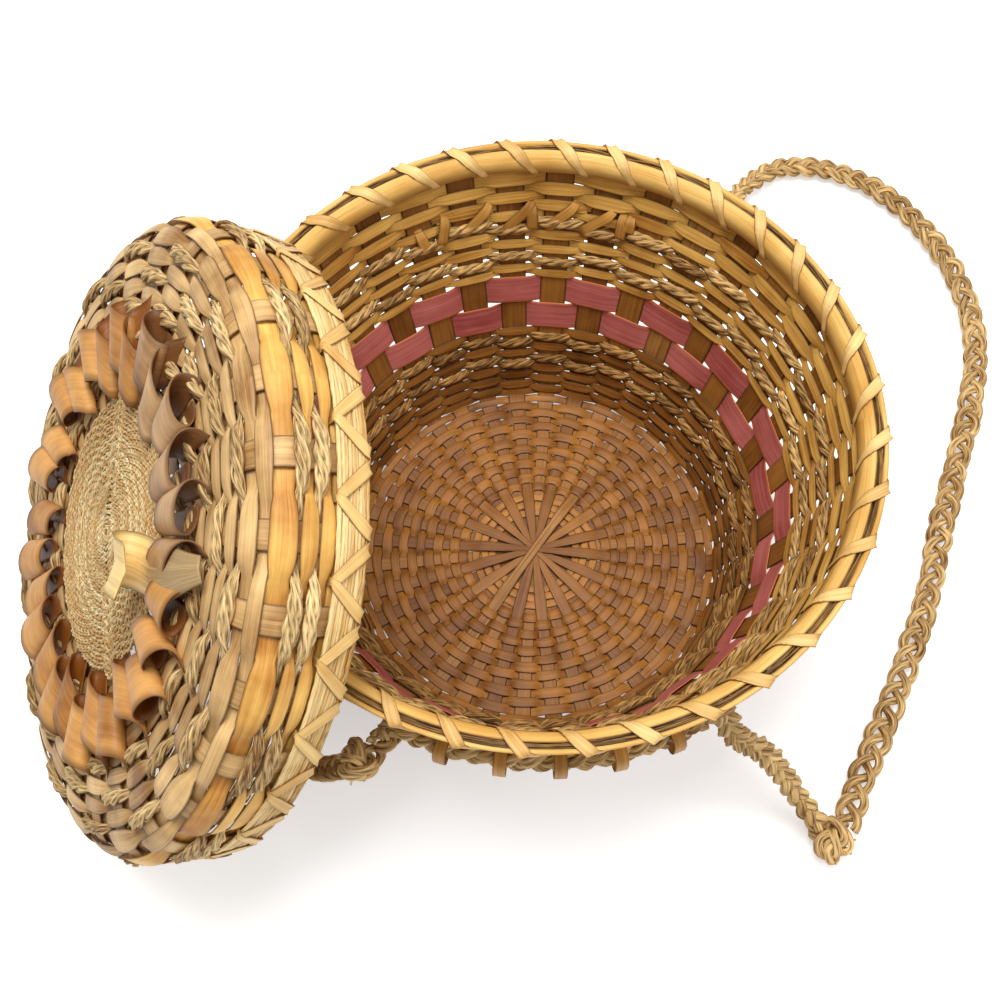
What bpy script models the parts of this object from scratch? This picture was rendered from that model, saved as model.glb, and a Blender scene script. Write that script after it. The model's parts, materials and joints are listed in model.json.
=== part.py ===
"""A round splint basket with a braided strap handle and a domed lid ringed with curls.

The basket stands on the XY plane with its axis on +Z.  Its 36 ash splints cross under the
middle of the base and turn up as stakes.  Rows of splint go over and under them, and two
hoops close the top, bound with one running splint.  The lid leans on its edge at the -X
side, with its crown up and away from the basket.
"""

import math

import bmesh
import bpy
from mathutils import Matrix, Vector

MM = 0.001

# Splints and fits
SPLINT_THICKNESS = 0.9 * MM
LASHING_THICKNESS = 0.7 * MM
CLEARANCE = 0.3 * MM
WEAVE_OFFSET = SPLINT_THICKNESS + CLEARANCE
CROSSING_ROOM = 0.35 * MM
ROW_GAP = 0.4 * MM
LASHING_SLOT = 1.3 * MM

# Basket stakes, base and wall
STAKE_COUNT = 36
STAKE_PHASE = math.radians(5.5)
STAKE_WIDTH_FOOT = 12.0 * MM
STAKE_WIDTH_TOP = 13.5 * MM
BASE_RADIUS = 92.5 * MM
TOP_RADIUS = 139.0 * MM
STAKE_TOP = 143.0 * MM
WALL_FOOT = 6.0 * MM
BEND_RADIUS = 6.5 * MM
HUB_RADIUS = 12.0 * MM
HUB_STEP_START = 27.5 * MM
WOVEN_START = 34.0 * MM
SPOKE_COVER = 0.74
BEND_MITRE = 1.08 * math.sqrt(0.5)
BEND_RISE = 0.8
BASE_ROW_COUNT = 3

# Heights of the wall's rows, from the table up
LOWER_ROW_COUNT = 3
DYED_START = 47.2 * MM
DYED_ROW_HEIGHT = 15.2 * MM
UPPER_ROW_COUNT = 2
STRAP_ROW_HEIGHT = 14.2 * MM
UNDER_RIM_ROW_HEIGHT = 13.0 * MM
RIM_ROW_HEIGHT = 7.4 * MM

# Rim
STAKE_GRIP = 5.2 * MM
HOOP_BOTTOM = STAKE_TOP - STAKE_GRIP
HOOP_HEIGHT = 9.2 * MM
INNER_HOOP_THICKNESS = 4.0 * MM
OUTER_HOOP_THICKNESS = 2.0 * MM
INNER_HOOP_SETBACK = 1.3 * MM
OUTER_HOOP_SETBACK = 1.5 * MM
FILLER_HEIGHT = 3.0 * MM
LASHING_WIDTH = 5.5 * MM
LASHING_SLANT = (0.0, 0.0, 0.35, 0.7)

# Strap
STRAP_DIAMETER = 12.0 * MM
STRAP_HEIGHT = 107.0 * MM
STRAP_STANDOFF = 1.2 * MM
STRAP_RUN_CUTS = 8
STRAP_LEAD = 0.7 * STRAP_DIAMETER
CURVE_CUTS = 16
STRAP_RUN_HALF_ANGLE = math.radians(27)
STRAP_FRONT_ANGLE = math.radians(-89.5)
STRAP_BACK_ANGLE = math.radians(90.5)
KEEPER_COUNT = 5
KEEPER_WIDTH = 5.0 * MM
KNOT_LENGTH = 20.0 * MM
KNOT_THICKNESS = 16.0 * MM
KNOT_WAIST = 0.12

# Lid, in its own frame: its mouth lies at height 0 and its crown points up
LID_RIB_COUNT = 28
LID_RIB_FOOT = 126.8 * MM
LID_RIB_BELLY = 130.8 * MM
LID_BELLY_HEIGHT = 29.5 * MM
LID_CROWN_HEIGHT = 44.4 * MM
LID_CROWN_INSET = 26.8 * MM
LID_UPPER_INSET = 11.8 * MM
LID_UPPER_DROP = 1.6 * MM
LID_LOWER_INSET = 3.3 * MM
LID_LOWER_DROP = 6.9 * MM
LID_RIB_END = 2.0 * MM
LID_HUB_RADIUS = 20.0 * MM
LID_RIB_WIDTH = 11.5 * MM
LID_RIB_WIDTH_UPPER = 10.35 * MM
LID_RIB_WIDTH_LOWER = 11.04 * MM
LID_RIB_WIDTH_CROWN = 9.0 * MM
LID_ROW_ENDS = ((0.2, 0.9), (0.28, 0.88), (0.18, 0.95))
LID_HOOP_HEIGHT = 13.0 * MM
LID_INNER_HOOP_THICKNESS = 2.6 * MM
LID_OUTER_HOOP_THICKNESS = 2.2 * MM
LID_OUTER_BULGE = 3.0 * MM
LID_INNER_BULGE = 2.4 * MM
LID_DISC_RADIUS = 57.0 * MM
LID_DISC_THICKNESS = 3.0 * MM
LID_DISC_DOME = 1.5 * MM
LID_DISC_BEVEL = 2.0 * MM
LID_DISC_EDGE_DROP = 0.6 * MM
LID_DISC_HALFWAY_RISE = 0.8 * LID_DISC_DOME

# Curls of the lid: the inner end of each is smaller than the outer end
CURL_DISC_GAP = 3.0 * MM
CURL_LENGTH = 38.0 * MM
CURL_CREST_SETBACK = 10.0 * MM
CURL_INNER = LID_DISC_RADIUS + CURL_DISC_GAP
CURL_OUTER = CURL_INNER + CURL_LENGTH
CURL_CREST_OUTER = CURL_OUTER - CURL_CREST_SETBACK
CURL_INNER_WIDTH = 9.2 * MM
CURL_OUTER_WIDTH = 14.6 * MM
CURL_INNER_RISE = 7.0 * MM
CURL_OUTER_RISE = 9.4 * MM
CURL_TURN = (235, 180, 120, 60, 0, -55)
CURL_TURN_LIFT = 1.27
LOOSE_CURL_WIDTH = 18.0 * MM
LOOSE_CURL_ANGLE = -3 * math.tau / LID_RIB_COUNT

# Hook at the loose curl's end: how far in from the ring, how high above its crests
LOOSE_CURL_HOOK = [(7, 0.6), (10.5, 3.4), (8, 7.2), (0, 9.2), (-14, 9.4), (-24, 8.2)]

# Where the lid leans: the middle of its mouth, and the way its crown points
LID_CENTRE = Vector((-138.8, -41.0, 110.0)) * MM
LID_TILT = math.radians(33.7)
LID_YAW = math.radians(11.5)

# Routes of the strap's free stretches, from the wall to their knots
RIGHT_BACK_ROUTE = [
    (66, 128, 105), (80, 134, 94), (90, 148, 74), (97, 168, 50), (106, 192, 28),
    (118, 216, 13), (134, 234, 7.5), (154, 241, 6.4), (174, 237, 6.4), (194, 228, 6.4),
    (211, 213, 6.4), (225, 192, 6.4), (236, 167, 6.4), (241, 142, 6.4), (241, 116, 6.4),
    (234, 86, 6.4), (224, 55, 6.4), (212, 22, 6.4), (203, -6, 6.4), (195, -30, 6.4),
    (184, -56, 6.4), (171, -84, 6.4), (158, -109, 6.4), (149, -128, 6.8), (142.3, -141.2, 8.3),
]
RIGHT_FRONT_ROUTE = [
    (75, -120, 96), (88, -119, 76), (103, -122, 52), (116, -130, 30), (124, -137, 18),
    (130.1, -142.5, 13.2),
]
FRONT_LEFT_ROUTE = [(-62, -123.5, 106), (-67.7, -128.0, 101.4)]
LEFT_ROUTE = [
    (-81.2, -133, 88.0), (-89, -132, 76), (-100, -124, 55), (-109, -110, 31), (-116, -91, 14),
    (-121, -66, 7), (-124, -38, 6.4), (-125, -8, 6.4), (-123, 22, 6.4), (-118, 50, 6.4), (-110, 76, 8),
    (-101, 97, 19), (-91, 112, 40), (-81, 121, 66), (-71, 124, 90),
]
KNOT_RIGHT = (138, -149, 9.3)
KNOT_LEFT = (-75, -133, 96)

PALE_SPLINT = (0.72, 0.50, 0.24, 1.0)
GOLD_SPLINT = (0.62, 0.36, 0.11, 1.0)
BROWN_SPLINT = (0.26, 0.12, 0.035, 1.0)
TAN_SPLINT = (0.42, 0.24, 0.09, 1.0)
ROSE_SPLINT = (0.36, 0.08, 0.08, 1.0)
SWEETGRASS = (0.40, 0.27, 0.13, 1.0)


def clear_scene():
    for old in list(bpy.data.objects):
        bpy.data.objects.remove(old, do_unlink=True)


def material(name, colour, roughness):
    made = bpy.data.materials.new(name)
    made.use_nodes = True
    shader = made.node_tree.nodes["Principled BSDF"]
    shader.inputs["Base Color"].default_value = colour
    shader.inputs["Roughness"].default_value = roughness
    shader.inputs["Metallic"].default_value = 0.0
    made.diffuse_color = colour
    return made


def add_mesh(name, corners, faces, finish, frame=None):
    """A mesh object with its faces turned outwards, in the frame of the given empty."""
    mesh = bpy.data.meshes.new(name)
    mesh.from_pydata([tuple(corner) for corner in corners], [], faces)
    shell = bmesh.new()
    shell.from_mesh(mesh)
    bmesh.ops.recalc_face_normals(shell, faces=shell.faces)
    shell.to_mesh(mesh)
    shell.free()
    mesh.materials.append(finish)
    made = bpy.data.objects.new(name, mesh)
    bpy.context.scene.collection.objects.link(made)
    made.parent = frame
    return made


def sweep(name, sections, closed, finish, frame=None):
    """Joins equal sections, each a ring of corners, into one tube with flat sides."""
    size = len(sections[0])
    corners = [corner for section in sections for corner in section]
    faces = []
    count = len(sections)
    for index in range(count if closed else count - 1):
        here = index * size
        there = ((index + 1) % count) * size
        for side in range(size):
            after = (side + 1) % size
            faces.append((here + side, there + side, there + after, here + after))
    if not closed:
        faces.append(tuple(range(size)))
        faces.append(tuple(range((count - 1) * size, count * size)))
    return add_mesh(name, corners, faces, finish, frame)


def polar(angle, out, along, height):
    """A point given in the local frame of a spoke: out from the axis, along the tangent."""
    cos = math.cos(angle)
    sin = math.sin(angle)
    return Vector((out * cos - along * sin, out * sin + along * cos, height))


def wall_radius(height):
    """Radius of the stakes' middle surface."""
    share = (height - WALL_FOOT) / (STAKE_TOP - WALL_FOOT)
    return BASE_RADIUS + share * (TOP_RADIUS - BASE_RADIUS)


def stake_width(height):
    share = (height - WALL_FOOT) / (STAKE_TOP - WALL_FOOT)
    return STAKE_WIDTH_FOOT + share * (STAKE_WIDTH_TOP - STAKE_WIDTH_FOOT)


def spoke_width(radius):
    return SPOKE_COVER * radius * math.tau / STAKE_COUNT


def stake_angle(index):
    return STAKE_PHASE + index * math.tau / STAKE_COUNT


def gap_angle(index):
    return stake_angle(index) + math.pi / STAKE_COUNT


def star(name, angles, hub_radius, hub_height, stations, finish, frame=None):
    """Splints that cross at one hub.  A station is (out, height, half width, normal)."""
    half = SPLINT_THICKNESS / 2
    count = len(angles)
    step = math.tau / count
    corners = [Vector((0, 0, hub_height - half)), Vector((0, 0, hub_height + half))]
    for angle in angles:
        for lift in (-half, half):
            corners.append(polar(angle - step / 2, hub_radius, 0, hub_height + lift))
    faces = []
    for index, angle in enumerate(angles):
        right = 2 + 2 * index
        left = 2 + 2 * ((index + 1) % count)
        faces.append((0, left, right))
        faces.append((1, right + 1, left + 1))
        edge = (right, left, left + 1, right + 1)
        for out, height, half_width, normal in stations:
            start = len(corners)
            for side, lift in ((-1, -1), (1, -1), (1, 1), (-1, 1)):
                corners.append(polar(
                    angle,
                    out + lift * half * normal[0],
                    side * half_width,
                    height + lift * half * normal[1],
                ))
            new_edge = tuple(range(start, start + 4))
            for side in range(4):
                after = (side + 1) % 4
                faces.append((edge[side], edge[after], new_edge[after], new_edge[side]))
            edge = new_edge
        faces.append(edge)
    return add_mesh(name, corners, faces, finish, frame)


def stakes(finish):
    """Two layers of 18 splints.  The lower hub lies on the table, under the upper one."""
    woven_height = WEAVE_OFFSET + SPLINT_THICKNESS / 2
    corner = BASE_RADIUS - BEND_RADIUS
    turn = BEND_RADIUS * (1 - math.sqrt(0.5))
    wall = [
        (corner, woven_height, spoke_width(corner) / 2, (0, 1)),
        (
            BASE_RADIUS - turn / 2, woven_height + turn * BEND_RISE, STAKE_WIDTH_FOOT / 2,
            (-BEND_MITRE, BEND_MITRE),
        ),
        (BASE_RADIUS, WALL_FOOT, STAKE_WIDTH_FOOT / 2, (-1, 0)),
        (TOP_RADIUS, STAKE_TOP, STAKE_WIDTH_TOP / 2, (-1, 0)),
    ]
    start = (WOVEN_START, woven_height, spoke_width(WOVEN_START) / 2, (0, 1))
    root = HUB_RADIUS * math.sin(math.tau / STAKE_COUNT)
    low = SPLINT_THICKNESS / 2
    step = (HUB_STEP_START, low, root, (0, 1))
    even = [stake_angle(index) for index in range(0, STAKE_COUNT, 2)]
    odd = [stake_angle(index) for index in range(1, STAKE_COUNT, 2)]
    star("stakes_lower_layer", even, HUB_RADIUS, low, [step, start] + wall, finish)
    star("stakes_upper_layer", odd, HUB_RADIUS, woven_height, [start] + wall, finish)


def base_row(name, inner, outer, phase, finish):
    """A flat ring woven through the spokes of the base."""
    half = SPLINT_THICKNESS / 2
    level = WEAVE_OFFSET + half
    sections = []
    for index in range(STAKE_COUNT):
        side = 1 if (index + phase) % 2 == 0 else -1
        height = level + side * WEAVE_OFFSET
        for end in (-1, 1):
            section = []
            for out, lift in ((inner, -half), (inner, half), (outer, half), (outer, -half)):
                along = end * (spoke_width(out) / 2 + CROSSING_ROOM)
                section.append(polar(stake_angle(index), out, along, height + lift))
            sections.append(section)
    return sweep(name, sections, True, finish)


def wall_row(name, low, high, phase, finish):
    """A row of the wall.  It passes inside the stakes whose index plus phase is even."""
    half = SPLINT_THICKNESS / 2
    sections = []
    for index in range(STAKE_COUNT):
        side = -1 if (index + phase) % 2 == 0 else 1
        for end in (-1, 1):
            section = []
            for height, lift in ((low, -half), (low, half), (high, half), (high, -half)):
                out = wall_radius(height) + side * WEAVE_OFFSET + lift
                along = end * (stake_width(height) / 2 + CROSSING_ROOM)
                section.append(polar(stake_angle(index), out, along, height))
            sections.append(section)
    return sweep(name, sections, True, finish)


def base(finish):
    start = WOVEN_START + ROW_GAP
    end = BASE_RADIUS - BEND_RADIUS - ROW_GAP
    pitch = (end - start + ROW_GAP) / BASE_ROW_COUNT
    for row in range(BASE_ROW_COUNT):
        inner = start + row * pitch
        base_row(f"base_row_{row + 1}", inner, inner + pitch - ROW_GAP, row, finish)


def strap_row_ends():
    """Lowest and highest height of the row behind the strap."""
    return STRAP_HEIGHT - STRAP_ROW_HEIGHT / 2, STRAP_HEIGHT + STRAP_ROW_HEIGHT / 2


def wall(splint, rose):
    row = 1
    start = WALL_FOOT + ROW_GAP
    pitch = (DYED_START - start) / LOWER_ROW_COUNT
    for number in range(LOWER_ROW_COUNT):
        low = start + number * pitch
        wall_row(f"lower_row_{number + 1}", low, low + pitch - ROW_GAP, row, splint)
        row += 1
    low = DYED_START
    for name in ("dyed_row_lower", "dyed_row_upper"):
        wall_row(name, low, low + DYED_ROW_HEIGHT, row, rose)
        low += DYED_ROW_HEIGHT + ROW_GAP
        row += 1
    strap_low, strap_high = strap_row_ends()
    pitch = (strap_low - LASHING_SLOT - low + ROW_GAP) / UPPER_ROW_COUNT
    for number in range(UPPER_ROW_COUNT):
        wall_row(f"upper_row_{number + 1}", low, low + pitch - ROW_GAP, row, splint)
        low += pitch
        row += 1
    wall_row("strap_row", strap_low, strap_high, row, splint)
    low = strap_high + LASHING_SLOT
    high = HOOP_BOTTOM - LASHING_THICKNESS - 3 * CLEARANCE
    rim_share = RIM_ROW_HEIGHT / (UNDER_RIM_ROW_HEIGHT + RIM_ROW_HEIGHT)
    rim_low = high - rim_share * (high - low - ROW_GAP)
    wall_row("under_rim_row", low, rim_low - ROW_GAP, row + 1, splint)
    wall_row("rim_row", rim_low, high, row + 2, splint)


def ring(name, profile, count, finish, frame=None, phase=0.0):
    """A hoop whose section is a list of (radius, height)."""
    sections = []
    for index in range(count):
        angle = phase + index * math.tau / count
        sections.append([polar(angle, out, 0, height) for out, height in profile])
    return sweep(name, sections, True, finish, frame)


def hoop_profile(centre_line, inner, outer, low, high):
    """Corners of a hoop that follows the wall between two heights."""
    return [
        (centre_line(low) + inner, low),
        (centre_line(low) + outer, low),
        (centre_line(high) + outer, high),
        (centre_line(high) + inner, high),
    ]


def lashing(name, centre_line, inner, outer, through, edge, angles, finish, frame=None):
    """One splint that winds round two hoops.  It goes through the gaps between the stakes at
    one height, and on a slant over the hoops' free edge at the other."""
    step = angles[1] - angles[0]
    away_up = math.copysign(1, edge - through)
    sections = []
    for angle in angles:
        turns = (
            (inner, through, -1, -away_up),
            (outer, through, 1, -away_up),
            (outer, edge, 1, away_up),
            (inner, edge, -1, away_up),
        )
        for (offset, height, out_sign, up_sign), share in zip(turns, LASHING_SLANT):
            here = angle + share * step
            section = []
            for gap, end in ((0, -1), (0, 1), (1, 1), (1, -1)):
                away = CLEARANCE + gap * LASHING_THICKNESS
                out = centre_line(height) + offset + out_sign * away
                along = end * LASHING_WIDTH / 2
                section.append(polar(here, out, along, height + up_sign * away))
            sections.append(section)
    return sweep(name, sections, True, finish, frame)


def rim(pale, gold, grass):
    top = HOOP_BOTTOM + HOOP_HEIGHT
    inner_face = -INNER_HOOP_SETBACK - INNER_HOOP_THICKNESS
    outer_face = OUTER_HOOP_SETBACK + OUTER_HOOP_THICKNESS
    sides = 2 * STAKE_COUNT
    inner = hoop_profile(wall_radius, inner_face, -INNER_HOOP_SETBACK, HOOP_BOTTOM, top)
    ring("rim_inner_hoop", inner, sides, pale, phase=STAKE_PHASE)
    outer = hoop_profile(wall_radius, OUTER_HOOP_SETBACK, outer_face, HOOP_BOTTOM, top)
    ring("rim_outer_hoop", outer, sides, pale, phase=STAKE_PHASE)
    filler_low = STAKE_TOP + CLEARANCE
    filler = hoop_profile(
        wall_radius,
        CLEARANCE - INNER_HOOP_SETBACK,
        OUTER_HOOP_SETBACK - CLEARANCE,
        filler_low,
        filler_low + FILLER_HEIGHT,
    )
    ring("rim_filler", filler, sides, grass, phase=STAKE_PHASE)
    angles = [gap_angle(-index) for index in range(STAKE_COUNT)]
    lashing(
        "rim_lashing", wall_radius, inner_face, outer_face,
        HOOP_BOTTOM, top, angles, gold,
    )


def strap_radius():
    """Radius of the middle of the strap where it lies along the wall."""
    outer_wall = wall_radius(STRAP_HEIGHT) + WEAVE_OFFSET + SPLINT_THICKNESS / 2
    return outer_wall + STRAP_STANDOFF + STRAP_DIAMETER / 2


def smooth_points(route, spacing):
    """Points at an even spacing on a smooth curve through the route's own points."""
    points = [Vector(point) for point in route]
    before = [points[0] * 2 - points[1]] + points[:-1]
    after = points[1:] + [points[-1] * 2 - points[-2]]
    fine = []
    for index in range(len(points) - 1):
        here = points[index]
        there = points[index + 1]
        leave = (there - before[index]) / 2
        arrive = (after[index + 1] - here) / 2
        for step in range(CURVE_CUTS):
            t = step / CURVE_CUTS
            fine.append(
                here * (2 * t**3 - 3 * t**2 + 1)
                + leave * (t**3 - 2 * t**2 + t)
                + there * (3 * t**2 - 2 * t**3)
                + arrive * (t**3 - t**2)
            )
    fine.append(points[-1])
    lengths = [0.0]
    for first, second in zip(fine, fine[1:]):
        lengths.append(lengths[-1] + (second - first).length)
    count = max(2, round(lengths[-1] / spacing))
    chosen = []
    cursor = 0
    for index in range(count + 1):
        wanted = lengths[-1] * index / count
        while cursor < len(lengths) - 2 and lengths[cursor + 1] < wanted:
            cursor += 1
        span = lengths[cursor + 1] - lengths[cursor]
        share = (wanted - lengths[cursor]) / span
        chosen.append(fine[cursor].lerp(fine[cursor + 1], share))
    return chosen


def tube(name, points, diameter, finish):
    """A round cord along the points, with flat ends."""
    curve = bpy.data.curves.new(name, "CURVE")
    curve.dimensions = "3D"
    curve.bevel_depth = diameter / 2
    curve.bevel_resolution = 2
    curve.use_fill_caps = True
    spline = curve.splines.new("POLY")
    spline.points.add(len(points) - 1)
    for slot, point in zip(spline.points, points):
        slot.co = (*point, 1.0)
    curve.materials.append(finish)
    made = bpy.data.objects.new(name, curve)
    bpy.context.scene.collection.objects.link(made)
    return made


def run_end(middle, sign):
    """Where a stretch of the strap leaves the wall, and the way it then points."""
    angle = middle + sign * STRAP_RUN_HALF_ANGLE
    heading = Vector((-math.sin(angle), math.cos(angle), 0)) * sign
    point = polar(angle, strap_radius(), 0, STRAP_HEIGHT) + heading * STRAP_DIAMETER / 4
    return point, heading


def wall_run(name, middle, finish, lead=()):
    """The strap where it lies along the wall, with a straight stub past each end."""
    points = [Vector(point) * MM for point in reversed(lead)]
    if not lead:
        points.append(run_end(middle, -1)[0])
    for index in range(STRAP_RUN_CUTS + 1):
        angle = middle + STRAP_RUN_HALF_ANGLE * (2 * index / STRAP_RUN_CUTS - 1)
        points.append(polar(angle, strap_radius(), 0, STRAP_HEIGHT))
    points.append(run_end(middle, 1)[0])
    tube(name, points, STRAP_DIAMETER, finish)


def keepers(name, middle, finish):
    """One splint that stitches the strap to the wall, straight outside and slanted inside."""
    half = LASHING_THICKNESS / 2
    strap_low, strap_high = strap_row_ends()
    low = strap_low - LASHING_SLOT / 2
    high = strap_high + LASHING_SLOT / 2
    reach = CLEARANCE + SPLINT_THICKNESS / 2 + WEAVE_OFFSET + half
    outside = strap_radius() + STRAP_DIAMETER / 2 + CLEARANCE + half
    sections = []
    pitch = math.tau / STAKE_COUNT
    for number in range(KEEPER_COUNT):
        angle = middle + (number - (KEEPER_COUNT - 1) / 2) * pitch
        turns = (
            (wall_radius(low) - reach, low, -1, -1),
            (outside, low, 1, -1),
            (outside, high, 1, 1),
            (wall_radius(high) - reach, high, -1, 1),
        )
        for out, height, out_sign, up_sign in turns:
            section = []
            for lift, end in ((-half, -1), (-half, 1), (half, 1), (half, -1)):
                section.append(polar(
                    angle,
                    out + out_sign * lift,
                    end * KEEPER_WIDTH / 2,
                    height + up_sign * lift,
                ))
            sections.append(section)
    sweep(name, sections, False, finish)


def knot(name, centre, heading, finish):
    """A knot in the strap: a short egg with a waist, along its heading."""
    shape = bmesh.new()
    bmesh.ops.create_uvsphere(shape, u_segments=12, v_segments=8, radius=0.5)
    for vertex in shape.verts:
        waist = 1.0 - KNOT_WAIST * math.cos(vertex.co.z * 4 * math.pi)
        vertex.co.x *= KNOT_THICKNESS * waist
        vertex.co.y *= KNOT_THICKNESS * waist
        vertex.co.z *= KNOT_LENGTH
    turn = heading.normalized().to_track_quat("Z", "Y").to_matrix()
    bmesh.ops.rotate(shape, cent=(0, 0, 0), matrix=turn, verts=shape.verts)
    mesh = bpy.data.meshes.new(name)
    shape.to_mesh(mesh)
    shape.free()
    mesh.materials.append(finish)
    mesh.shade_smooth()
    made = bpy.data.objects.new(name, mesh)
    made.location = centre
    bpy.context.scene.collection.objects.link(made)


def free_stretch(name, start, heading, route, finish):
    """A free length of strap from the end of a wall run, through its route, to a knot."""
    first = start + heading * CLEARANCE
    turning = start + heading * STRAP_LEAD
    points = [turning] + [Vector(point) * MM for point in route]
    tube(name, [first] + smooth_points(points, 2 * STRAP_DIAMETER), STRAP_DIAMETER, finish)


def strap(grass, splint):
    wall_run("strap_front", STRAP_FRONT_ANGLE, grass, FRONT_LEFT_ROUTE)
    wall_run("strap_back", STRAP_BACK_ANGLE, grass)
    keepers("strap_keeper_front", STRAP_FRONT_ANGLE, splint)
    keepers("strap_keeper_back", STRAP_BACK_ANGLE, splint)
    back_right = run_end(STRAP_BACK_ANGLE, -1)
    back_left = run_end(STRAP_BACK_ANGLE, 1)
    front_right = run_end(STRAP_FRONT_ANGLE, 1)
    free_stretch("strap_loop_right", *back_right, RIGHT_BACK_ROUTE, grass)
    free_stretch("strap_tail_right", *front_right, RIGHT_FRONT_ROUTE, grass)
    free_stretch("strap_loop_left", *back_left, LEFT_ROUTE[::-1], grass)
    knot("strap_knot_right", Vector(KNOT_RIGHT) * MM, Vector((0.6, -0.5, -0.3)), grass)
    knot("strap_knot_left", Vector(KNOT_LEFT) * MM, Vector((-0.7, -0.3, -0.7)), grass)


def lid_line(height):
    """Radius of the lid's ribs between its mouth and its belly."""
    share = height / LID_BELLY_HEIGHT
    return LID_RIB_FOOT + share * (LID_RIB_BELLY - LID_RIB_FOOT)


def lid_rib_angle(index):
    return index * math.tau / LID_RIB_COUNT


def lid_shoulder():
    """The ribs' middle line over the shoulder, from the crown down: (radius, height)."""
    return [
        (LID_RIB_BELLY - LID_CROWN_INSET, LID_CROWN_HEIGHT),
        (LID_RIB_BELLY - LID_UPPER_INSET, LID_CROWN_HEIGHT - LID_UPPER_DROP),
        (LID_RIB_BELLY - LID_LOWER_INSET, LID_CROWN_HEIGHT - LID_LOWER_DROP),
        (LID_RIB_BELLY, LID_BELLY_HEIGHT),
    ]


def lid_ribs(finish, frame):
    crown, upper, lower, belly = lid_shoulder()
    wide = LID_RIB_WIDTH / 2
    stations = [
        (*crown, LID_RIB_WIDTH_CROWN / 2, (0, 1)),
        (*upper, LID_RIB_WIDTH_UPPER / 2, (0.3, 0.95)),
        (*lower, LID_RIB_WIDTH_LOWER / 2, (0.8, 0.7)),
        (*belly, wide, (1, 0.1)),
        (lid_line(LID_RIB_END), LID_RIB_END, wide, (1, 0)),
    ]
    angles = [lid_rib_angle(index) for index in range(LID_RIB_COUNT)]
    star("lid_ribs", angles, LID_HUB_RADIUS, LID_CROWN_HEIGHT, stations, finish, frame)


def lid_row(name, first, second, phase, finish, frame):
    """A row of the lid between two points of its outline, bulging out over every other rib."""
    half = SPLINT_THICKNESS / 2
    run = Vector((second[0] - first[0], second[1] - first[1])).normalized()
    normal = (run[1], -run[0])
    sections = []
    for index in range(LID_RIB_COUNT):
        over = (index + phase) % 2 == 0
        bulge = LID_OUTER_BULGE if over else -LID_INNER_BULGE
        section = []
        for point, lift in ((first, -half), (first, half), (second, half), (second, -half)):
            out = point[0] + (bulge + lift) * normal[0]
            height = point[1] + (bulge + lift) * normal[1]
            section.append(polar(lid_rib_angle(index), out, 0, height))
        sections.append(section)
    sweep(name, sections, True, finish, frame)


def between(first, second, share):
    return tuple(a + share * (b - a) for a, b in zip(first, second))


def lid_rows(splint, grass, frame):
    crown, upper, lower, belly = lid_shoulder()
    start = LID_HOOP_HEIGHT + LASHING_SLOT + CLEARANCE
    middle = (start + LID_BELLY_HEIGHT) / 2
    lid_row(
        "lid_wall_row_1", (lid_line(start), start),
        (lid_line(middle - ROW_GAP), middle - ROW_GAP), 0, splint, frame,
    )
    lid_row(
        "lid_wall_row_2", (lid_line(middle), middle),
        (lid_line(LID_BELLY_HEIGHT - ROW_GAP), LID_BELLY_HEIGHT - ROW_GAP), 1, splint, frame,
    )
    spans = ((belly, lower), (lower, upper), (upper, crown))
    for index, (span, ends) in enumerate(zip(spans, LID_ROW_ENDS)):
        first, second = (between(*span, share) for share in ends)
        lid_row(f"lid_shoulder_row_{index + 1}", first, second, index, grass, frame)


def lid_hoops(pale, gold, frame):
    low = 0.0
    high = LID_HOOP_HEIGHT
    seat = SPLINT_THICKNESS / 2 + CLEARANCE
    bow = (1 - math.cos(math.pi / (2 * LID_RIB_COUNT))) * LID_RIB_BELLY
    inner_face = -seat - LID_INNER_HOOP_THICKNESS
    outer_start = seat + 2 * bow
    outer_face = outer_start + LID_OUTER_HOOP_THICKNESS
    sides = 2 * LID_RIB_COUNT
    inner = hoop_profile(lid_line, inner_face, -seat, low, high)
    ring("lid_inner_hoop", inner, sides, pale, frame)
    outer = hoop_profile(lid_line, outer_start, outer_face, low, high)
    ring("lid_outer_hoop", outer, sides, pale, frame)
    step = math.tau / LID_RIB_COUNT
    angles = [lid_rib_angle(index) + step / 2 for index in range(LID_RIB_COUNT)]
    lashing(
        "lid_lashing", lid_line, inner_face, outer_face,
        high, low, angles, gold, frame,
    )


def lid_disc(finish, frame):
    """The close-twined middle of the crown, lying on the ribs."""
    under = LID_CROWN_HEIGHT + SPLINT_THICKNESS / 2 + CLEARANCE
    over = under + LID_DISC_THICKNESS
    levels = (
        (LID_DISC_RADIUS, under),
        (LID_DISC_RADIUS, over - LID_DISC_EDGE_DROP),
        (LID_DISC_RADIUS - LID_DISC_BEVEL, over),
        (LID_DISC_RADIUS / 2, over + LID_DISC_HALFWAY_RISE),
    )
    count = LID_RIB_COUNT
    corners = []
    for out, height in levels:
        for index in range(count):
            corners.append(polar(lid_rib_angle(index), out, 0, height))
    faces = [tuple(range(count))]
    for level in range(len(levels) - 1):
        for index in range(count):
            after = (index + 1) % count
            here = level * count
            there = here + count
            faces.append((here + index, here + after, there + after, there + index))
    tip = len(corners)
    corners.append(Vector((0, 0, over + LID_DISC_DOME)))
    last = (len(levels) - 1) * count
    for index in range(count):
        faces.append((last + index, last + (index + 1) % count, tip))
    add_mesh("lid_centre_disc", corners, faces, finish, frame)


def left_normals(line, step=None):
    """The normals on the left of an open line, or of a line that repeats after a step."""
    if step is None:
        before = line[:1] + line[:-1]
        after = line[1:] + line[-1:]
    else:
        before = [line[-1] - step] + line[:-1]
        after = line[1:] + [line[0] + step]
    normals = []
    for previous, following in zip(before, after):
        run = (following - previous).normalized()
        normals.append(Vector((-run.y, run.x)))
    return normals


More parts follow.
